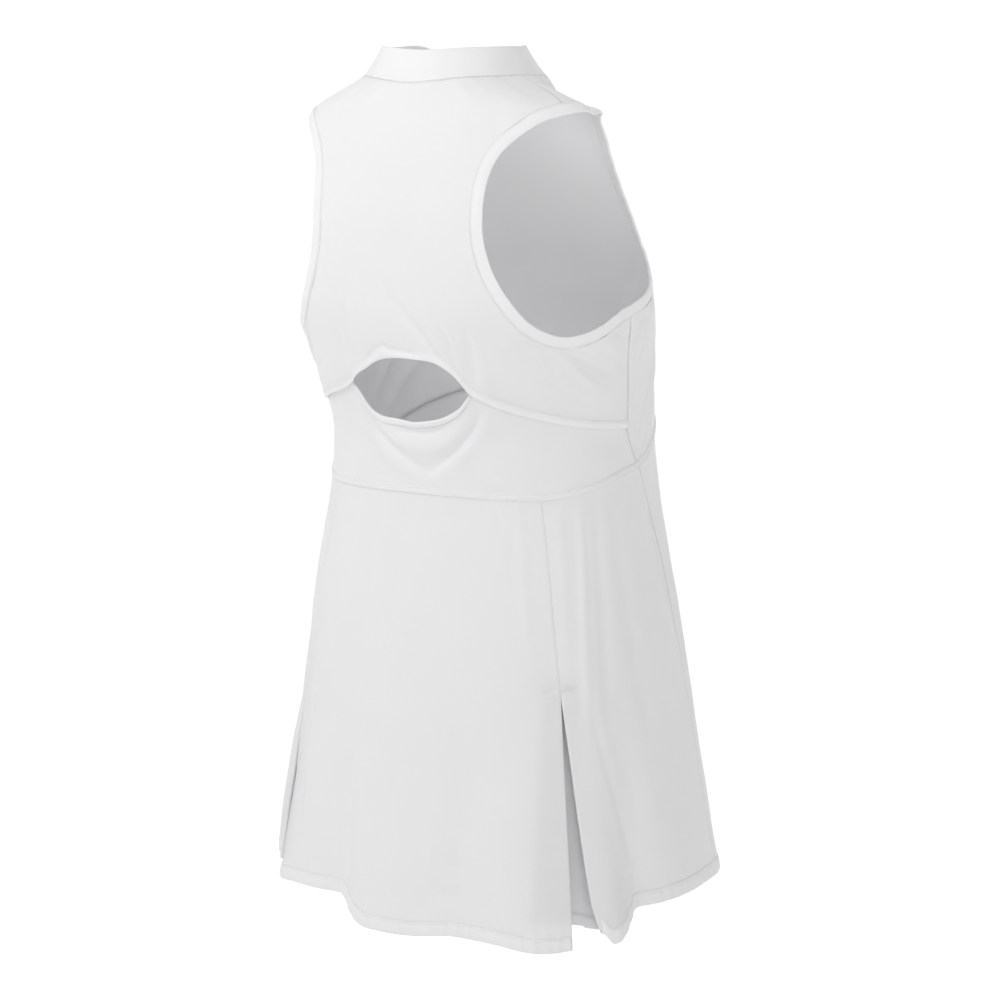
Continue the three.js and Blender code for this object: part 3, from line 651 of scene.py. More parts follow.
def lift_points(angle, z, depth):
    return form_point(angle, z) + form_normal(angle, z) * np.asarray(depth)[..., None]


# Making pieces
def new_grid(bm, across, up):
    """A grid's new vertices, with the two parts from 0 to 1 that give the place of each."""
    made = bmesh.ops.create_grid(bm, x_segments=across, y_segments=up, size=0.5)["verts"]
    spots = np.array([vert.co[:2] for vert in made]) + 0.5
    return made, spots[:, 0], spots[:, 1]


def set_points(verts, points):
    for vert, point in zip(verts, points * METRES):
        vert.co = point


def add_object(name, data):
    thing = bpy.data.objects.new(name, data)
    bpy.context.scene.collection.objects.link(thing)
    return thing


def finish_piece(name, bm, material, front=False):
    bmesh.ops.remove_doubles(bm, verts=bm.verts, dist=MERGE * METRES)
    mesh = bpy.data.meshes.new(name)
    bm.to_mesh(mesh)
    bm.free()
    mesh.shade_smooth()
    mesh.materials.append(material)
    add_cloth_map(mesh, front)
    piece = add_object(name, mesh)
    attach(piece, "root")
    return piece


BODY_AXIS = -0.03  # metres: its y
MAP_RADIUS = 0.15  # metres from the body's axis at which the cloth's map is true


def add_cloth_map(mesh, front):
    """A map of the cloth in metres, across and up, on which the knit is drawn."""
    spots = np.empty(len(mesh.vertices) * 3)
    mesh.vertices.foreach_get("co", spots)
    x, y, z = spots.reshape(-1, 3).T
    y = y - BODY_AXIS
    turn = np.arctan2(x, -y) if front else np.arctan2(-x, y)
    loops = np.empty(len(mesh.loops), np.int32)
    mesh.loops.foreach_get("vertex_index", loops)
    cloth_map = mesh.uv_layers.new(name="cloth")
    cloth_map.data.foreach_set("uv", np.stack([turn * MAP_RADIUS, z], axis=1)[loops].ravel())


def panel(name, patches, depth_at, material, front=False):
    """A panel of cloth. Each patch is (columns, rows, place), and place gives angle, z and an
    extra depth from the two parts of the grid."""
    bm = bmesh.new()
    for across, up, place in patches:
        verts, u, v = new_grid(bm, across, up)
        angle, z, extra = place(u, v)
        set_points(verts, lift_points(angle, z, depth_at(angle, z) + extra))
    piece = finish_piece(name, bm, material, front)
    wall = piece.modifiers.new("wall", "SOLIDIFY")
    wall.thickness = LAYER * METRES
    wall.offset = 0
    wall.use_even_offset = True
    return piece


def rows_over_hem(v, bottom, top, hem_rows, count):
    """Heights of a grid's rows: first the close rows over a hem, and then even ones."""
    index = v * count
    last = len(hem_rows) - 1
    close = bottom + np.interp(index, np.arange(last + 1), hem_rows)
    even = lerp(bottom + hem_rows[-1], top, (index - last) / (count - last))
    return np.where(index <= last, close, even)


def build_upper_back(material):
    inner, outer, shoulder = 60, 36, 14
    low_angle, low_z = on_edge(PANEL_EDGE, ARMHOLE_LOWEST)
    rows = np.linspace(ARMHOLE_LOWEST, ARMHOLE_SIDE, 40)
    under_angle, under_z = on_edge(PANEL_EDGE, rows)
    side_limit = side_seam(under_z[-1]) - side_gap(under_z[-1])
    under_angle = np.minimum(under_angle, side_limit)
    under_angle[-1] = side_limit
    hem_rows = [0, 0.8, 2.4, 4.2, 6, 7.5]
    hem_count = 44
    flat_z, flat_part = -60, 0.8  # over this height a row's middle rises less than its ends

    def below(u, v):
        k = (2 * u - 1) * (inner + outer)
        size = np.abs(k)
        beyond = lerp(low_angle, side_limit, (size - inner) / outer)
        off = np.where(size <= inner, size / inner * low_angle, beyond)
        top = np.where(size <= inner, low_z, np.interp(off, under_angle, under_z))
        angle = np.sign(k) * off
        return angle, rows_over_hem(v, yoke_edge(angle), top, hem_rows, hem_count), 0

    def cross(part, row):
        edge_angle, edge_z = on_edge(PANEL_EDGE, row)
        middle = np.where(edge_z < flat_z, edge_z, lerp(flat_z, edge_z, flat_part))
        return part * edge_angle, lerp(middle, edge_z, part * part)

    def beside(u, v):
        k = 2 * u - 1
        angle, z = cross(np.abs(k), lerp(ARMHOLE_LOWEST, SHOULDER_EDGE, v))
        return np.sign(k) * angle, z, 0

    def above(u, v):
        k = (2 * u - 1) * (inner + shoulder)
        size = np.abs(k)
        crossing = cross(np.minimum(size / inner, 1), np.full(u.shape, SHOULDER_EDGE))
        edge = on_edge(PANEL_EDGE, SHOULDER_EDGE * (1 - np.clip((size - inner) / shoulder, 0, 1)))
        low = [np.where(size <= inner, a, b) for a, b in zip(crossing, edge)]
        tip_angle, _ = on_edge(PANEL_EDGE, 0)
        top_angle, top_z = neck_seam(low[0] / tip_angle * SHOULDER_SEAM_ANGLE)
        angle = lerp(low[0], top_angle, v)
        return np.sign(k) * angle, lerp(low[1], top_z - COLLAR_GAP / 2, v), 0

    patches = [
        (2 * (inner + outer), hem_count, below),
        (2 * inner, 90, beside),
        (2 * (inner + shoulder), 26, above),
    ]
    return panel("dress_upper_back", patches, yoke_depth, material)


SIDE_BOTTOM = waist_seam(side_seam(-317)) + WAIST_GAP / 2
SIDE_LAP = waist_panel_top(side_seam(-270))


def cutout_drop(angle):
    """How far the waist panel ends under its top, to leave room for the cut-out's band."""
    return (CUTOUT_BAND + SEAM_GAP) * (np.abs(angle) <= CUTOUT_BAND_END + 0.1)


def build_waist_panel(material):
    def place(u, v):
        z_side = lerp(SIDE_BOTTOM, SIDE_LAP, v)
        angle = (2 * u - 1) * (side_seam(z_side) - side_gap(z_side))
        top = waist_panel_top(angle) - cutout_drop(angle)
        return angle, lerp(waist_seam(angle) + WAIST_GAP / 2, top, v), 0

    return panel("dress_waist_panel", [(190, 34, place)], waist_depth, material)


def build_front_bodice(material):
    half_columns = 84
    under_neck = 22  # the shoulders' own patches start this far under the neck
    rows = np.linspace(ARMHOLE_SIDE, len(ARMHOLE["z"]), 400)
    edge_angle, edge_z = on_edge(PANEL_EDGE, rows)
    side_half, side_z = 180 - edge_angle[0], edge_z[0]
    neck_low = neck_seam(180)[1] - COLLAR_GAP / 2
    split = rows[np.argmax(edge_z > neck_low - under_neck)]
    split_z = on_edge(PANEL_EDGE, split)[1]
    front_rise, chest_bend, shoulder_bend = 8, 1.5, 0.7

    def sides(u, v):
        k = 2 * u - 1
        size = np.abs(k)
        z_side = lerp(SIDE_BOTTOM, side_z, v)
        half = 180 - side_seam(z_side) - side_gap(z_side)
        half = lerp(half, side_half, smoothstep(v, 0.9, 1))
        low = waist_seam(180 - size * half) + WAIST_GAP / 2
        top = lerp(side_z + front_rise, side_z, size)
        return 180 + k * half, lerp(low, top, v), 0

    def chest(u, v):
        k = 2 * u - 1
        size = np.abs(k)
        angle, z = on_edge(PANEL_EDGE, lerp(ARMHOLE_SIDE, split, v))
        rise = (z - side_z) / (split_z - side_z)
        middle = lerp(side_z + front_rise, neck_low, rise)
        bend = lerp(chest_bend, shoulder_bend, rise)
        bend = lerp(1, bend, smoothstep(v, 0, 0.12))
        return 180 + k * (180 - angle), lerp(middle, z, size**bend), 0

    def shoulder(sign):
        def place(u, v):
            column = u if sign > 0 else 1 - u
            angle, z = on_edge(PANEL_EDGE, lerp(split, len(ARMHOLE["z"]), v))
            neck_angle, neck_z = neck_seam(180 - (180 - SHOULDER_SEAM_ANGLE) * v)
            gap = 2 * side_gap(z) * smoothstep(v, 0.9, 1)
            half = lerp(180 - neck_angle, 180 - angle, column) - gap
            bend = lerp(shoulder_bend, 1, smoothstep(v, 0, 0.3))
            return 180 + sign * half, lerp(neck_z - COLLAR_GAP / 2, z, column**bend), 0

        return place

    patches = [
        (2 * half_columns, 60, sides),
        (2 * half_columns, 44, chest),
        (half_columns, 56, shoulder(-1)),
        (half_columns, 56, shoulder(1)),
    ]
    return panel("dress_front_bodice", patches, front_depth, material, front=True)


# Skirt
FOLD_ROLL = 1.1  # radius of a pleat's folded edge
ROLL_COLUMNS = 5
SKIRT_ROWS = 128


def skirt_height(angle, part):
    return lerp(skirt_edge(angle), waist_seam(angle) - WAIST_GAP / 2, part)


def seam_crossing(seam, part):
    """Where a seam that runs down the skirt crosses a row."""
    angle = seam(np.full(np.shape(part), float(FLUTE_END)))
    for _ in range(8):
        angle = seam(skirt_height(angle, part))
    return angle


def skirt_place(from_seam, to_seam, across, rolls):
    """Places of a skirt panel; rolls says which of its two edges turn back into a pleat."""
    low_roll, high_roll = rolls
    extra = ROLL_COLUMNS * (low_roll + high_roll)

    def place(u, v):
        start = seam_crossing(from_seam, v)
        end = seam_crossing(to_seam, v)
        k = u * (across + extra) - ROLL_COLUMNS * low_roll
        middle = (start + end) / 2
        per_roll = degrees_for(FOLD_ROLL, middle, skirt_height(middle, v))
        flat_start = start + per_roll * low_roll
        flat_end = end - per_roll * high_roll
        flat = lerp(flat_start, flat_end, np.clip(k / across, 0, 1))
        before = np.clip(-k / ROLL_COLUMNS, 0, 1) * math.pi
        after = np.clip((k - across) / ROLL_COLUMNS, 0, 1) * math.pi
        angle = flat + per_roll * (np.sin(after) - np.sin(before))
        depth = -FOLD_ROLL * (2 - np.cos(before) - np.cos(after))
        return angle, skirt_height(flat, v), depth

    return across + extra, place


def build_skirt(material):
    def side_back(z):
        return side_seam(z) - side_gap(z)

    def side_front(z):
        return side_seam(z) + side_gap(z)

    def mirrored(seam):
        return lambda z: -seam(z)

    layout = [
        ("back", mirrored(pleat_back_edge), pleat_back_edge, 124, (1, 1)),
        ("side_right", pleat_side_edge, side_back, 68, (1, 0)),
        ("side_left", mirrored(side_back), mirrored(pleat_side_edge), 68, (0, 1)),
        ("front", side_front, lambda z: 360 - side_front(z), 176, (0, 0)),
    ]
    pieces = []
    for place_name, from_seam, to_seam, across, rolls in layout:
        count, place = skirt_place(from_seam, to_seam, across, rolls)
        name, front = "dress_skirt_" + place_name, place_name == "front"
        pieces.append(panel(name, [(count, SKIRT_ROWS, place)], skirt_depth, material, front=front))
    return pieces


# Pleat inserts
INSERT_HEM = {"reach": 32, "depth": 15}
INSERT_TOP = {"reach": 12, "depth": 7}
RETURN_DEPTH = 2.3
INSERT_START = 1.0  # distance of its edge from the fold
INSERT_BACK_RISE = 9  # its hem is higher beside the back
INSERT_PATH = [0, 0.35, 1, 1.12, 1.2, 1.12, 1, 0.5, 0]  # how far it reaches under the fold, as parts
INSERT_SINK = [0, 0, 0, 0.15, 0.5, 0.85, 1, 1, 1]  # and how deep it lies there


def insert_place(sign):
    """Angle, z and depth of the insert at u, from the back fold to the side fold, and v, up."""
    lowest = skirt_edge(sign * pleat_back_edge(FLUTE_END)) + INSERT_RISE
    knots = np.linspace(0, 1, len(INSERT_PATH))
    reach_curve = smooth_curve({"t": knots, "value": np.array(INSERT_PATH)}, "t", "value")
    sink_curve = smooth_curve({"t": knots, "value": np.array(INSERT_SINK, float)}, "t", "value")

    def place(u, v):
        bottom = lowest + INSERT_BACK_RISE * (1 - smoothstep(u, 0.36, 0.62))
        z = lerp(bottom, PLEAT_TOP, v)
        back, side = pleat_back_edge(z), pleat_side_edge(z)
        reach = lerp(INSERT_HEM["reach"], INSERT_TOP["reach"], v)
        depth = lerp(INSERT_HEM["depth"], INSERT_TOP["depth"], v)
        on_back = u < 0.5
        t = np.where(on_back, u, 1 - u) * 2
        sink = -lerp(RETURN_DEPTH, depth, sink_curve(t))
        under = lerp(INSERT_START, reach, reach_curve(t))
        offset = degrees_for(under, back, z)
        middle = (back + side) / 2
        edge = np.where(on_back, back - offset, side + offset)
        centre = smoothstep(t, 0.78, 1)
        angle = lerp(edge, middle, np.where(t > 0.74, centre, 0))
        return sign * angle, z, sink

    return place


def build_insert(name, sign, material):
    place = insert_place(sign)

    def ordered(u, v):
        return place(u if sign > 0 else 1 - u, v)

    return panel(name, [(72, 76, ordered)], lambda _, z: 0 * z, material)


# Bands: a closed section carried along an edge
GROOVE = {"depth": 0.3, "reach": 0.55}  # that a row of stitches pulls into a band
BAND_EASE = {"width": 0.8, "depth": 0.45}  # a band's upper edge falls to the cloth over this


def section(width, outer, inner, grooves=(), crown=0.2, steps=22):
    """A folded band's section as (rise from its edge, depth), with a groove for each stitch row."""
    rise = np.linspace(width, 0, steps)
    top = outer + crown * np.sin(np.pi * rise / width)
    for row in grooves:
        top = top - GROOVE["depth"] * np.exp(-(((rise - row) / GROOVE["reach"]) ** 2))
    ease = np.clip((width - rise) / BAND_EASE["width"], 0, 1)
    eased = lerp(outer - BAND_EASE["depth"], top, ease)
    top = np.where(rise > width - BAND_EASE["width"], eased, top)
    radius = (outer - inner) / 2
    turn = np.linspace(0, math.pi, 8)[1:-1]
    round_rise = -radius * 0.55 * np.sin(turn)
    round_depth = (outer + inner) / 2 + radius * np.cos(turn)
    back_rise = np.linspace(0, width, 8)
    back_depth = np.full(8, float(inner))
    back_depth[-1] += 0.3
    rises = np.concatenate([rise, round_rise, back_rise])
    return rises, np.concatenate([top, round_depth, back_depth])


def finish_tube(name, bm, material, closed=False, front=False):
    """Joins a tube's seams, and closes its ends if it isn't a closed ring."""
    bmesh.ops.remove_doubles(bm, verts=bm.verts, dist=MERGE * METRES)
    if not closed:
        bmesh.ops.holes_fill(bm, edges=[edge for edge in bm.edges if edge.is_boundary])
    bmesh.ops.recalc_face_normals(bm, faces=bm.faces)
    return finish_piece(name, bm, material, front)


def band(name, profile, along, locate, material, closed=False, front=False):
    """Carries a section along an edge; locate gives points and normals from (part, rise)."""
    rises, depths = profile
    count = len(rises)
    bm = bmesh.new()
    verts, u, v = new_grid(bm, along, count)
    index = np.rint(v * count).astype(int) % count
    points, normals = locate(u, rises[index])
    set_points(verts, points + normals * depths[index][:, None])
    return finish_tube(name, bm, material, closed, front)


def on_cloth(angle, z, depth_at):
    normals = form_normal(angle, z)
    return form_point(angle, z) + normals * depth_at(angle, z)[..., None], normals


def stitch_rows(name, lines, material):
    """Rows of stitches. Each line is a length and locate, which gives points and normals."""
    bm = bmesh.new()
    for length, locate in lines:
        stitches = max(1, round(length / STITCH))
        count = stitches * STITCH_PARTS
        parts = np.arange(count + 1) / count
        points, normals = locate(parts)
        along = unit(np.gradient(points, axis=0))
        across = unit(np.cross(along, normals))
        beat = np.abs(np.sin(np.pi * parts * stitches)) ** 0.6
        radius = THREAD * lerp(THREAD_ENTERS, 1, beat)
        centre = points + normals * (0.3 * THREAD * (beat - 0.6))[:, None]
        verts, u, v = new_grid(bm, count, THREAD_SIDES)
        i = np.rint(u * count).astype(int)
        turn = 2 * math.pi * (np.rint(v * THREAD_SIDES) % THREAD_SIDES) / THREAD_SIDES
        offset = across[i] * np.cos(turn)[:, None] + normals[i] * np.sin(turn)[:, None]
        set_points(verts, centre[i] + offset * radius[i][:, None])
    return finish_tube(name, bm, material)


def edge_length(locate, samples=200):
    points, _ = locate(np.linspace(0, 1, samples))
    return float(np.linalg.norm(np.diff(points, axis=0), axis=1).sum())


def stitch_lines(locate, rows, lift):
    """A line of stitches at each of a band's rows, lifted off the middle of the cloth."""
    lines = []
    for row in rows:
        def along_row(part, row=row):
            points, normals = locate(part, row)
            return points + normals * lift, normals

        lines.append((edge_length(along_row), along_row))
    return lines


# Rows of stitches: distances from a band's edge, and from the middle of the waist's cover seam
HEM_STITCHES = (9.4, 11.6)
YOKE_STITCHES = (4.4, 6.2)
CUTOUT_STITCHES = (2.7, 4.3)
ARMHOLE_STITCHES = (8.9,)
WAIST_ROWS = (-2.3, 0, 2.3)
HEM_OUTER = LAYER / 2 + 0.45
HEM_SHORT = 0.4  # a hem stops this far from a pleat's fold
WAIST_COVER = 6.4


def build_skirt_hems(material):
    """The turned hem of the skirt, which stops at each pleat."""
    lowest = np.array(0.0)
    back_end = seam_crossing(pleat_back_edge, lowest) - degrees_for(HEM_SHORT, 47, FLUTE_END)
    side_start = seam_crossing(pleat_side_edge, lowest) + degrees_for(HEM_SHORT, 57, FLUTE_END)
    stretches = [
        ("hem_back", -back_end, back_end, 150, False),
        ("hem_front_and_sides", side_start, 360 - side_start, 420, True),
    ]
    pieces, lines = [], []
    profile = section(SKIRT_HEM, HEM_OUTER, -LAYER / 2 - 0.6, HEM_STITCHES, crown=0.25, steps=30)
    for name, start, end, along, front in stretches:
        def locate(part, rise, start=start, end=end):
            angle = lerp(start, end, part)
            return on_cloth(angle, skirt_edge(angle) + rise, skirt_depth)

        pieces.append(band(name, profile, along, locate, material, front=front))
        lines += stitch_lines(locate, HEM_STITCHES, HEM_OUTER - 0.12)
    return pieces, lines


def build_insert_hems(material):
    pieces = []
    profile = section(SKIRT_HEM, LAYER / 2 + 0.35, -LAYER / 2 - 0.35, HEM_STITCHES, steps=24)
    for name, sign in (("hem_insert_right", 1), ("hem_insert_left", -1)):
        place = insert_place(sign)

        def locate(part, rise, place=place, sign=sign):
            column = 0.2 + 0.6 * (part if sign > 0 else 1 - part)
            angle, z, depth = place(column, np.zeros_like(part))
            z = z + rise
            return lift_points(angle, z, depth), form_normal(angle, z)

        pieces.append(band(name, profile, 70, locate, material))
    return pieces


def build_yoke_hem(material):
    limit = float(side_seam(-281) - side_gap(-281))
    outer = LAYER / 2 + 0.4

    def locate(part, rise):
        angle = lerp(-limit, limit, part)
        return on_cloth(angle, yoke_edge(angle) + rise, yoke_depth)

    profile = section(YOKE_HEM, outer, -LAYER / 2 - 0.15, YOKE_STITCHES, crown=0.3, steps=26)
    piece = band("hem_yoke", profile, 240, locate, material)
    return piece, stitch_lines(locate, YOKE_STITCHES, outer - 0.05)


def build_cutout_band(material):
    outer = FOLDED / 2

    def locate(part, rise):
        angle = lerp(-CUTOUT_BAND_END, CUTOUT_BAND_END, part)
        return on_cloth(angle, waist_panel_top(angle) - rise, waist_depth)

    profile = section(CUTOUT_BAND, outer, -outer, CUTOUT_STITCHES, crown=0.25, steps=20)
    piece = band("dress_cutout_band", profile, 90, locate, material)
    return piece, stitch_lines(locate, CUTOUT_STITCHES, outer - 0.1)


def build_waist_cover(material):
    """The flat seam round the waist, under its three rows of stitches."""
    outer = LAYER / 2 + 0.7

    def locate(part, rise):
        angle = part * 360 - 180
        z = waist_seam(angle) + WAIST_COVER / 2 - rise
        pucker = 0.3 * np.sin(angle * 2.9) * np.sin(angle * 1.3 + 1)
        return on_cloth(angle, z, lambda a, h: rumple(a, h) * 0.7 + pucker)

    rows = [WAIST_COVER / 2 - row for row in WAIST_ROWS]
    profile = section(WAIST_COVER, outer, LAYER / 2 - 0.5, rows, crown=0.35, steps=28)
    piece = band("waist_cover_seam", profile, 400, locate, material, closed=True)
    return piece, stitch_lines(locate, rows, outer + 0.15)


def build_armhole_bands(material):
    pieces, lines = [], []
    outer = FOLDED / 2
    rows = len(ARMHOLE["z"])
    profile = section(ARMHOLE_BAND, outer, -outer, ARMHOLE_STITCHES, crown=0.45, steps=20)
    for name, sign in (("dress_armhole_band_right", 1), ("dress_armhole_band_left", -1)):
        def locate(part, rise, sign=sign):
            inner_edge = on_edge(ARMHOLE_LINE, part * rows)
            outer_edge = on_edge(BAND_EDGE, part * rows)
            share = rise / ARMHOLE_BAND
            angle = sign * lerp(inner_edge[0], outer_edge[0], share)
            z = lerp(inner_edge[1], outer_edge[1], share)
            ripple = 0.25 * np.sin(part * 2 * math.pi * 31) * np.sin(part * 2 * math.pi * 12)
            return on_cloth(angle, z, lambda a, h: ripple + shoulder_slope(a, h))

        pieces.append(band(name, profile, 260, locate, material, closed=True))
        lines += stitch_lines(locate, ARMHOLE_STITCHES, outer - 0.1)
    return pieces, lines


NECK_TOP = neck_seam(0)[1] + COLLAR_RISE


def collar_point(angle, part):
    seam_angle, seam_z = neck_seam(angle)
    low = form_point(seam_angle, seam_z + COLLAR_GAP / 2)
    x, y = oval_point(COLLAR_TOP, angle)
    to_front = smoothstep(-np.cos(np.radians(angle)), 0, 1)
    height = lerp(NECK_TOP, seam_z + COLLAR_RISE, to_front)
    height = height + sag(angle, 8, 30, 2.8) - sag(angle, -58, 20, 0.9)
    high = np.stack([x, y, height], axis=-1)
    point = lerp(low, high, np.asarray(part)[..., None])
    point[..., 2] -= COLLAR_BOW * np.sin(np.pi * part)
    return point


def build_collar(material):
    outer = FOLDED / 2

    def locate(turn, rise):
        angle = turn * 360 - 180
        part = 1 - rise / COLLAR_RISE
        across = collar_point(angle + 1, part) - collar_point(angle - 1, part)
        up = collar_point(angle, part + 0.02) - collar_point(angle, part - 0.02)
        normals = unit(np.cross(across, up))
        folded = fold_depth(COLLAR_FOLDS, angle, part, DEGREE["collar"], up=COLLAR_RISE)
        wave = 0.3 * np.sin(np.radians(angle * 5))
        depth = (folded + wave) * smoothstep(part, 0, 0.25)
        return collar_point(angle, part) + normals * depth[:, None], normals

    profile = section(COLLAR_RISE, outer, -outer, (), crown=0.25, steps=22)
    return band("dress_collar", profile, 200, locate, material, closed=True)


def build_bar_tacks(material):
    """Close stitches across the top of each pleat's opening."""
    lines = []
    tack = {"z": -504, "half": 2.4, "rows": 3, "pitch": 0.6}
    for sign in (1, -1):
        for row in range(tack["rows"]):
            z = tack["z"] + row * tack["pitch"]

            def along_row(part, z=z, sign=sign):
                middle = sign * (pleat_back_edge(z) + pleat_gap(z))
                span = degrees_for(tack["half"], middle, z)
                angle = middle + span * (2 * part - 1)
                points, normals = on_cloth(angle, z + 0 * angle, skirt_depth)
                return points + normals * (LAYER / 2 - 0.05), normals

            lines.append((2 * tack["half"], along_row))
    return stitch_rows("bar_tacks", lines, material)


# Materials
KNIT = (0.90, 0.90, 0.91)
BAND_KNIT = (0.92, 0.92, 0.925)
# the pleat inserts are the same white jersey as the dress; their darker colour is painted shade inside
# the pleats
UNDERLAY_KNIT_PAINTED_SHADE = (0.84, 0.84, 0.85)
THREAD_WHITE = (0.93, 0.93, 0.93)
LIGHT_REACH = 0.006  # metres that light spreads in the thin cloth, and so through it
WALE = 0.0009  # width of a knitted column
COURSE = 0.0007  # height of a knitted row
KNIT_RELIEF = 0.00025  # metres
UNEVENNESS = 0.03  # of the cloth's colour, as a part of it
GRAIN_SCALE = 1400
PATCH_SCALE = 14
LOOP_HEIGHT = 0.6  # parts of the relief
GRAIN_HEIGHT = 0.5
SPECKS = 0.05  # of the cloth's colour, as a part of it
LEAST_ROUGHNESS = 0.62
ROUGHNESS_SPREAD = 0.12
WAVE_PERIOD = math.pi / 10  # of a band texture at scale 1


def set_inputs(tree, node, values):
    """Sets a node's inputs to values, or links them where a value is another node's output."""
    for name, value in values.items():
        if isinstance(value, bpy.types.NodeSocket):
            tree.links.new(value, node.inputs[name])
        else:
            node.inputs[name].default_value = value


def add_node(tree, kind, values, **settings):
    node = tree.nodes.new("ShaderNode" + kind)
    for name, value in settings.items():
        setattr(node, name, value)
    set_inputs(tree, node, values)
    return node


def add_math(tree, kind, first, second):
    return add_node(tree, "Math", {0: first, 1: second}, operation=kind).outputs[0]


def map_range(tree, value, from_range, to_range):
    values = {"Value": value}
    for name, (low, high) in (("From", from_range), ("To", to_range)):
        values.update({name + " Min": low, name + " Max": high})
    return add_node(tree, "MapRange", values).outputs["Result"]


def object_spots(tree):
    return add_node(tree, "TexCoord", {}).outputs["Object"]


def jersey_group():
    """Fine jersey: columns and rows of loops, a soft grain and a little unevenness of colour."""
    group = bpy.data.node_groups.new("polyester_jersey", "ShaderNodeTree")
    sockets = [
        ("Yarn", "INPUT", "Color"),
        ("Unevenness", "INPUT", "Float"),
        ("Color", "OUTPUT", "Color"),
        ("Roughness", "OUTPUT", "Float"),
        ("Height", "OUTPUT", "Float"),
    ]
    for name, way, kind in sockets:
        group.interface.new_socket(name, in_out=way, socket_type="NodeSocket" + kind)
    enter = group.nodes.new("NodeGroupInput").outputs
    leave = group.nodes.new("NodeGroupOutput")
    cloth_map = add_node(group, "UVMap", {}, uv_map="cloth").outputs["UV"]
    spots = object_spots(group)

    def wave(direction, period, distortion):
        values = {"Vector": cloth_map, "Distortion": distortion, "Detail": 1}
        values["Scale"] = WAVE_PERIOD / period
        return add_node(group, "TexWave", values, bands_direction=direction).outputs["Fac"]

    def noise(scale, detail):
        values = {"Vector": spots, "Scale": scale, "Detail": detail}
        return add_node(group, "TexNoise", values).outputs["Fac"]

    def product(first, second):
        return add_math(group, "MULTIPLY", first, second)

    def total(first, second):
        return add_math(group, "ADD", first, second)

    loops = product(wave("X", WALE, 0.4), wave("Y", COURSE, 0.8))
    grain = noise(GRAIN_SCALE, 2)
    patches = noise(PATCH_SCALE, 3)
    uneven = product(add_math(group, "SUBTRACT", patches, 0.5), enter["Unevenness"])
    specks = product(add_math(group, "SUBTRACT", grain, 0.5), SPECKS)
    bright = total(total(uneven, specks), 1.0)
    tint = add_node(group, "VectorMath", {0: enter["Yarn"], "Scale": bright}, operation="SCALE")
    set_inputs(group, leave, {
        "Color": tint.outputs[0],
        "Roughness": total(product(patches, ROUGHNESS_SPREAD), LEAST_ROUGHNESS),
        "Height": total(product(loops, LOOP_HEIGHT), product(grain, GRAIN_HEIGHT)),
    })
    return group


def new_material(name):
    material = bpy.data.materials.new(name)
    material.use_nodes = True
    return material, material.node_tree, material.node_tree.nodes["Principled BSDF"]


def cloth_material(name, color, group, sheen=0.25, bump=0.35, light_through=0.25):
    material, tree, shader = new_material(name)
    knit = add_node(tree, "Group", {}, node_tree=group)
    set_inputs(tree, knit, {"Yarn": (*color, 1), "Unevenness": UNEVENNESS})
    height = knit.outputs["Height"]
    relief = add_node(tree, "Bump", {"Strength": bump, "Distance": KNIT_RELIEF, "Height": height})
    set_inputs(tree, shader, {
        "Base Color": knit.outputs["Color"],
        "Roughness": knit.outputs["Roughness"],
        "Normal": relief.outputs["Normal"],
        "Sheen Weight": sheen,
        "Sheen Roughness": 0.45,
        "Specular IOR Level": 0.35,
        "Subsurface Weight": light_through,
        "Subsurface Radius": (1, 1, 1),
        "Subsurface Scale": LIGHT_REACH,
    })
    return material


def thread_material():
    """Polyester sewing thread: whiter and a little brighter than the cloth."""
    material, tree, shader = new_material("sewing_thread")
    twist = add_node(tree, "TexNoise", {"Vector": object_spots(tree), "Scale": 900}).outputs["Fac"]
    ramp = add_node(tree, "ValToRGB", {"Fac": twist})
    ramp.color_ramp.elements[0].color = (*(0.9 * np.array(THREAD_WHITE)), 1)
    ramp.color_ramp.elements[1].color = (*THREAD_WHITE, 1)
    set_inputs(tree, shader, {
        "Base Color": ramp.outputs["Color"],
        "Roughness": map_range(tree, twist, (0, 1), (0.4, 0.6)),
        "Sheen Weight": 0.3,
    })
    return material


# Camera: straight behind turned towards the wearer's right, and a little over the dress
VIEW_TURN = math.radians(35)
VIEW_RISE = math.radians(8.5)
VIEW_DISTANCE = 2.6
VIEW_TARGET = Vector((-0.0324, -0.0227, -0.352))
LENS = 104
SENSOR_WIDTH = 36


def direction(turn, rise):
    """Away from the dress, at a turn from straight behind towards the wearer's right, and a rise."""
    return Vector((
        -math.sin(turn) * math.cos(rise),
        math.cos(turn) * math.cos(rise),
        math.sin(rise),
    ))


def add_aimed(name, data, target, way, distance):
    """A camera or light that looks at a target from a distance."""
    thing = add_object(name, data)
    thing.location = target + way * distance
    thing.rotation_euler = way.to_track_quat("Z", "Y").to_euler()
    return thing


def build_camera():
    behind = direction(VIEW_TURN, VIEW_RISE)
    data = bpy.data.cameras.new("camera")
    data.lens = LENS
    data.sensor_width = SENSOR_WIDTH
    bpy.context.scene.camera = add_aimed("camera", data, VIEW_TARGET, behind, VIEW_DISTANCE)


FLOOR_DROP = 1.36  # the floor lies this far under the wearer's shoulders
FLOOR_RADIUS = 30
FLOOR_COLOR = (0.5, 0.5, 0.5, 1)
FLOOR_GLOW_REACH = (1.5, 2.2)  # away from the dress, the floor is as white as the backdrop
FLOOR_GLOW = (0.04, 0.75)


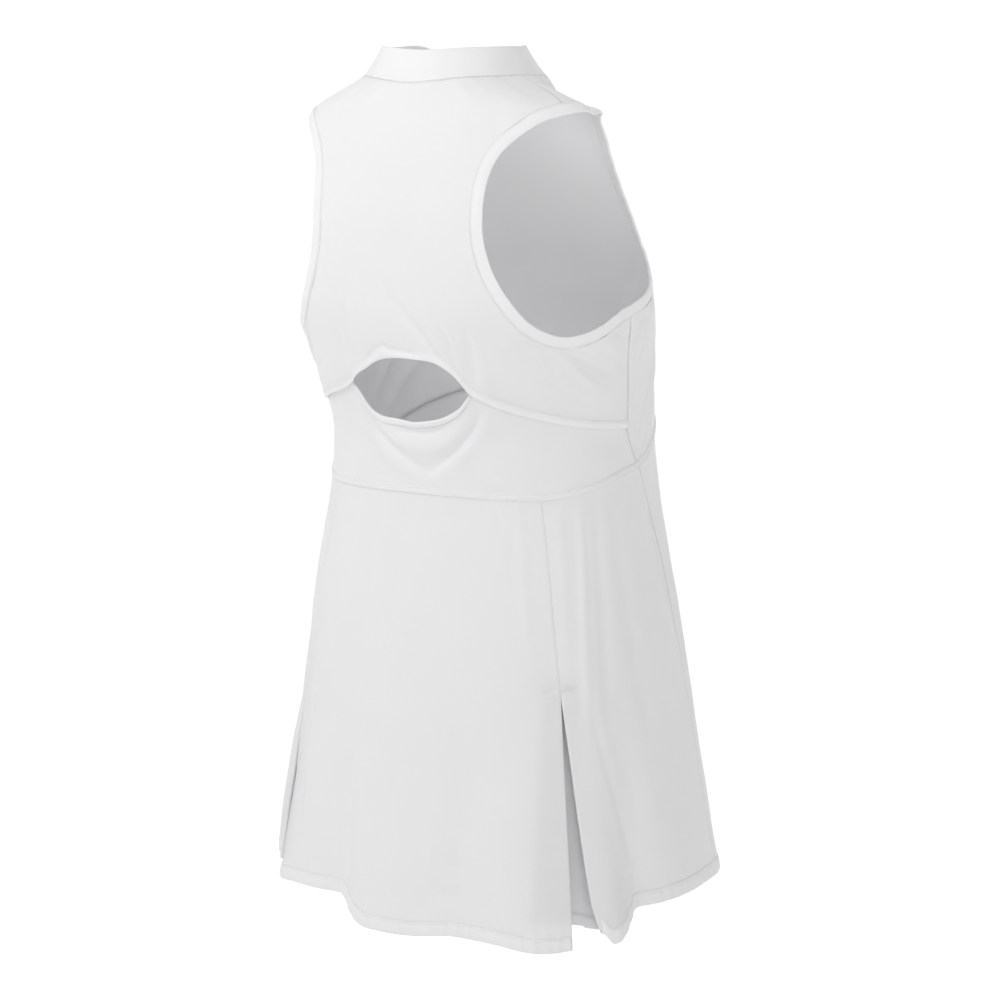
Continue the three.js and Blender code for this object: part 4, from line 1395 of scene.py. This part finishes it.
def build_floor():
    bm = bmesh.new()
    bmesh.ops.create_circle(bm, cap_ends=True, segments=64, radius=FLOOR_RADIUS)
    bmesh.ops.translate(bm, verts=bm.verts, vec=(0, 0, -FLOOR_DROP))
    mesh = bpy.data.meshes.new("floor")
    bm.to_mesh(mesh)
    bm.free()
    floor = add_object("floor", mesh)
    material, tree, shader = new_material("pale_floor")
    away = add_node(tree, "VectorMath", {0: object_spots(tree)}, operation="LENGTH").outputs["Value"]
    set_inputs(tree, shader, {
        "Base Color": FLOOR_COLOR,
        "Roughness": 0.9,
        "Emission Color": map_range(tree, away, FLOOR_GLOW_REACH, FLOOR_GLOW),
        "Emission Strength": 1,
    })
    mesh.materials.append(material)


LIGHT_TARGET = Vector((0, 0, -0.35))

# Each light stands so many degrees from the camera towards the wearer's right
LIGHTS = named_rows(
    "name from_camera rise distance size watts",
    ("key", -66, 48, 2.6, 1.3, 15.6),
    ("left", -95, 30, 2.6, 1.3, 5),
    ("fill", 15, 25, 2.6, 1.3, 9),
    ("front", 150, 20, 3.0, 2.0, 14),
)


def build_lights():
    for row in LIGHTS:
        way = direction(VIEW_TURN + math.radians(row["from_camera"]), math.radians(row["rise"]))
        data = bpy.data.lights.new(row["name"], "AREA")
        data.size = row["size"]
        data.energy = row["watts"]
        add_aimed(row["name"], data, LIGHT_TARGET, way, row["distance"])
    build_studio()
    bpy.context.scene.view_settings.view_transform = "Standard"


STUDIO_GLOW = 0.52
BACKDROP_GLOW = 1.05
BACKDROP_SPREAD = (0.8, 0.93)  # how nearly a direction is that of the backdrop, from its rim on
SIDE_SHADE = 0.75  # part of the glow that is left on the dress's right side
SIDE_SPREAD = (0.25, 0.9)


def build_studio():
    """Soft light from all round, with a white backdrop across from the camera."""
    world = bpy.data.worlds.new("studio")
    world.use_nodes = True
    tree = world.node_tree
    ways = add_node(tree, "TexCoord", {}).outputs["Generated"]

    def facing(way):
        return add_node(tree, "VectorMath", {0: ways, 1: way}, operation="DOT_PRODUCT").outputs["Value"]

    towards = facing((math.sin(VIEW_TURN), -math.cos(VIEW_TURN), 0))
    aside = facing((-math.cos(VIEW_TURN), -math.sin(VIEW_TURN), 0))
    glow = map_range(tree, towards, BACKDROP_SPREAD, (STUDIO_GLOW, BACKDROP_GLOW))
    shade = map_range(tree, aside, SIDE_SPREAD, (1, SIDE_SHADE))
    set_inputs(tree, tree.nodes["Background"], {
        "Color": (1, 1, 1, 1),
        "Strength": add_math(tree, "MULTIPLY", glow, shade),
    })
    bpy.context.scene.world = world


def declare(node):
    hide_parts(node)


def build_dress():
    jersey = jersey_group()
    knit = cloth_material("white_jersey", KNIT, jersey)
    band_look = {"sheen": 0.3, "bump": 0.45, "light_through": 0}
    band_knit = cloth_material("white_jersey_bands", BAND_KNIT, jersey, **band_look)
    # a darker copy of the jersey: painted shade for the pleat inserts and their hems
    shaded_underlay = cloth_material("white_jersey_underlay_painted_shade", UNDERLAY_KNIT_PAINTED_SHADE, jersey, sheen=0.1)
    thread = thread_material()

    upper_back = build_upper_back(knit)
    waist_panel = build_waist_panel(knit)
    front_bodice = build_front_bodice(knit)
    skirt_back, side_right, side_left, skirt_front = build_skirt(knit)
    insert_right = build_insert("dress_insert_right", 1, shaded_underlay)
    insert_left = build_insert("dress_insert_left", -1, shaded_underlay)
    armhole_bands, armhole_lines = build_armhole_bands(band_knit)
    cutout_band, cutout_lines = build_cutout_band(band_knit)
    collar = build_collar(band_knit)
    skirt_hems, hem_lines = build_skirt_hems(band_knit)
    insert_hems = build_insert_hems(shaded_underlay)
    yoke_hem, yoke_lines = build_yoke_hem(band_knit)
    waist_cover, waist_lines = build_waist_cover(band_knit)
    stitches = [
        stitch_rows("stitches_skirt_hem", hem_lines, thread),
        stitch_rows("stitches_yoke_hem", yoke_lines, thread),
        stitch_rows("stitches_cutout", cutout_lines, thread),
        stitch_rows("stitches_waist", waist_lines, thread),
        stitch_rows("stitches_armholes", armhole_lines, thread),
        build_bar_tacks(thread),
    ]

    declare("collar")
    declare("upper_back")
    declare("waist_panel_back")
    declare("front_bodice")
    declare("skirt_back")
    declare("skirt_side_right")
    declare("skirt_side_left")
    declare("skirt_front")
    declare("pleat_insert_right")
    declare("pleat_insert_left")
    declare("cutout_band")
    for band_piece, side in zip(armhole_bands, ("right", "left")):
        declare("armhole_band_" + side)


build_camera()
build_floor()
build_lights()
build_dress()
